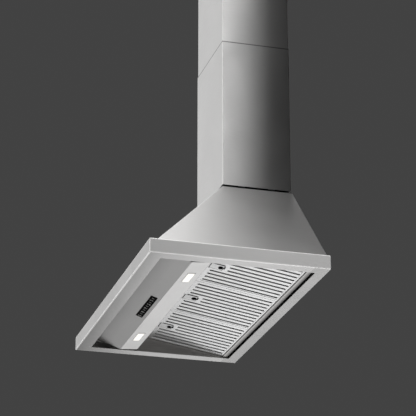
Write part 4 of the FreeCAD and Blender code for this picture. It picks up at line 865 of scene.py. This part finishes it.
def pale_floor():
    made, tree, shader, place = start_material("pale_floor", Metallic=0.0, Roughness=0.8)
    haze = use_group(tree, wiped_clouds, Position=place["Object"], Clouds=0.6)["Haze"]
    set_colour(tree, shader, haze, *(grey(level) for level in FLOOR_GREYS))
    path = tree.nodes.new("ShaderNodeLightPath").outputs["Is Camera Ray"]
    feed(tree, shader.inputs["Emission Strength"], path)
    shader.inputs["Emission Color"].default_value = grey(FLOOR_GLOW)
    below = maths(tree, "MULTIPLY", path, tree.nodes.new("ShaderNodeNewGeometry").outputs["Backfacing"])
    mix = tree.nodes.new("ShaderNodeMixShader")
    clear = tree.nodes.new("ShaderNodeBsdfTransparent")
    for socket, value in zip(mix.inputs, (below, shader.outputs[0], clear.outputs[0])):
        feed(tree, socket, value)
    feed(tree, tree.nodes["Material Output"].inputs["Surface"], mix.outputs[0])
    return made


floor_mesh = bpy.data.meshes.new("floor")
half = FLOOR_SIZE / 2
floor_mesh.from_pydata([(-half, -half, 0), (half, -half, 0), (half, half, 0), (-half, half, 0)], [],
                       [(0, 1, 2, 3)])
floor = bpy.data.objects.new("floor", floor_mesh)
floor.location.z = low.z - FLOOR_DEPTH
floor_mesh.materials.append(pale_floor())
bpy.context.scene.collection.objects.link(floor)
print("floor at", round(floor.location.z, 2))

# %% [markdown]
# The photograph looks up at the hood from its right. The camera stands low, in front and to the right,
# and looks up by 21 degrees. A long lens from far away keeps upright edges nearly parallel, as they
# are in the photograph, with no lens shift.

# %% Camera
CAMERA_PLACE = (5.2280, -1.7034, -1.7887)
CAMERA_YAW = 74.09
CAMERA_PITCH = 21.21
LENS_IN_PIXELS = 2008.7     # focal length, for a picture 416 pixels wide
PICTURE_SIDE = 416
LEVEL_TURN = 90             # turns a camera up from straight down to level

camera_data = bpy.data.cameras.new("camera")
camera_data.sensor_width = 36.0
camera_data.lens = LENS_IN_PIXELS / PICTURE_SIDE * camera_data.sensor_width
camera = bpy.data.objects.new("camera", camera_data)
camera.location = CAMERA_PLACE
camera.rotation_euler = (math.radians(LEVEL_TURN + CAMERA_PITCH), 0, math.radians(CAMERA_YAW))
bpy.context.scene.collection.objects.link(camera)
bpy.context.scene.camera = camera
print("lens in mm:", round(camera_data.lens, 1))

# %% [markdown]
# Brushed steel shows softly what stands round it, so the lights are placed like things in a mirror:
# each large panel stands where one kind of face, seen from the camera, reflects it. One serves the
# chimney's front, one the underside, one the right side, and one lights the top. Cameras don't see the
# panels themselves. Each panel is aimed at the hood by turning its axis to it.

# %% Lights
HOOD_MIDDLE = Vector((0, -0.25, 0.35))


def panel_light(name, place, glow, size):
    """Square panel; a mirror that shows it would look as white as its glow."""
    data = bpy.data.lights.new(name, "AREA")
    data.shape = "SQUARE"
    data.size = size
    data.energy = glow * math.pi * size ** 2
    made = bpy.data.objects.new(name, data)
    made.location = place
    made.rotation_euler = (Vector(place) - HOOD_MIDDLE).to_track_quat("Z", "Y").to_euler()
    made.visible_camera = False
    bpy.context.scene.collection.objects.link(made)


panel_light("front_left_panel", (-4.8, -1.8, 2.7), glow=0.57, size=3.8)
panel_light("low_left_panel", (-2.3, 0.85, -1.55), glow=0.92, size=1.8)
panel_light("right_panel", (3.6, 1.3, 2.6), glow=1.80, size=2.0)
panel_light("top_panel", (-0.5, 0.1, 3.2), glow=1.5, size=3.6)
print("large panels:", len(bpy.data.lights))

# %% [markdown]
# Folded edges are narrow round strips, and a bright line along them makes sheet metal look crisp. They
# face between their two sheets, so they reflect other places, and further panels stand there.

# %% Lights for the folded edges
panel_light("front_edge_panel", (1.4, -4.2, 2.3), glow=1.3, size=3.4)
panel_light("lower_edge_panel", (1.4, 0.3, -1.6), glow=1.8, size=1.0)
panel_light("left_edge_panel", (-3.2, -2.1, -0.9), glow=1.5, size=1.4)
print("all panels:", len(bpy.data.lights))

# %% [markdown]
# A real hood hangs on a wall, and its sides darken towards that wall because they reflect it. A wall
# would hide the hood from behind, so two flat cards stand in for it: a dark one beside the chimney and
# a paler one beside the pyramid. They leave the hood's own outline open like a cut-out, so that its
# back stays lit, and no camera sees them.

# %% Paint of a card
CARD_GREYS = (0.85, 1.15)   # darkest and palest cloud, as shares of the level


def card_paint(name, level):
    made, tree, shader, place = start_material(name, Metallic=0.0, Roughness=0.9, Specular_IOR_Level=0.0)
    haze = use_group(tree, wiped_clouds, Position=place["Object"], Clouds=2.0)["Haze"]
    set_colour(tree, shader, haze, *(grey(level * share) for share in CARD_GREYS))
    return made


print("greys of a card's clouds:", CARD_GREYS)

# %% [markdown]
# A card's outline is drawn for the right side only, as points in X and Z, and is mirrored to the left
# in the same mesh. Its corners are the hood's own corners and the card's reach.

# %% Cards in the wall's plane
CARD_REACH = 0.52           # how far the cards stand out beside the chimney
CARD_RISE = 0.12            # how far the upper card stands above the chimney
CARD_BACK = 2 * MM          # how far they lie behind the hood's back
CARD_TUCK = 14 * MM         # how far the upper card reaches behind the chimney's folded back edges


def make_card(name, outline, level):
    count = len(outline)
    mesh = bpy.data.meshes.new(name)
    mesh.from_pydata([(way * x, CARD_BACK, z) for way in (1, -1) for x, z in outline], [],
                     [tuple(range(count)), tuple(range(count, 2 * count))])
    mesh.materials.append(card_paint(f"{name}_paint", level))
    made = bpy.data.objects.new(name, mesh)
    made.visible_camera = False
    bpy.context.scene.collection.objects.link(made)


rim_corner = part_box("rim_frame")[1]
shell_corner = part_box("canopy_shell")[1]
chimney_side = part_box("lower_chimney")[1].x
reach = chimney_side + CARD_REACH
tuck = chimney_side - CARD_TUCK
top = high.z + CARD_RISE
make_card("upper_card", [(tuck, shell_corner.z), (tuck, top), (reach, top), (reach, shell_corner.z)],
          level=0.022)
make_card("lower_card", [(shell_corner.x, rim_corner.z), (chimney_side, shell_corner.z),
                         (reach, shell_corner.z), (rim_corner.x, rim_corner.z)], level=0.30)
print("cards reach", round(reach, 3))

# %% [markdown]
# The world gives even fill light. The camera sees a plain dark grey instead, so that pale steel stands
# out against it.

# %% World
FILL = 0.30
BACKGROUND = 0.055

world = bpy.data.worlds.new("studio")
bpy.context.scene.world = world
world.use_nodes = True
tree = world.node_tree
for old in list(tree.nodes):
    tree.nodes.remove(old)
camera_ray = tree.nodes.new("ShaderNodeLightPath").outputs["Is Camera Ray"]
fill = node(tree, "ShaderNodeBackground", Color=grey(FILL), Strength=1.0)
seen = node(tree, "ShaderNodeBackground", Color=grey(BACKGROUND), Strength=1.0)
mix = tree.nodes.new("ShaderNodeMixShader")
for socket, value in zip(mix.inputs, (camera_ray, fill.outputs[0], seen.outputs[0])):
    feed(tree, socket, value)
feed(tree, tree.nodes.new("ShaderNodeOutputWorld").inputs[0], mix.outputs[0])
bpy.context.scene.view_settings.view_transform = "Standard"
print("fill", FILL, "seen background", BACKGROUND)
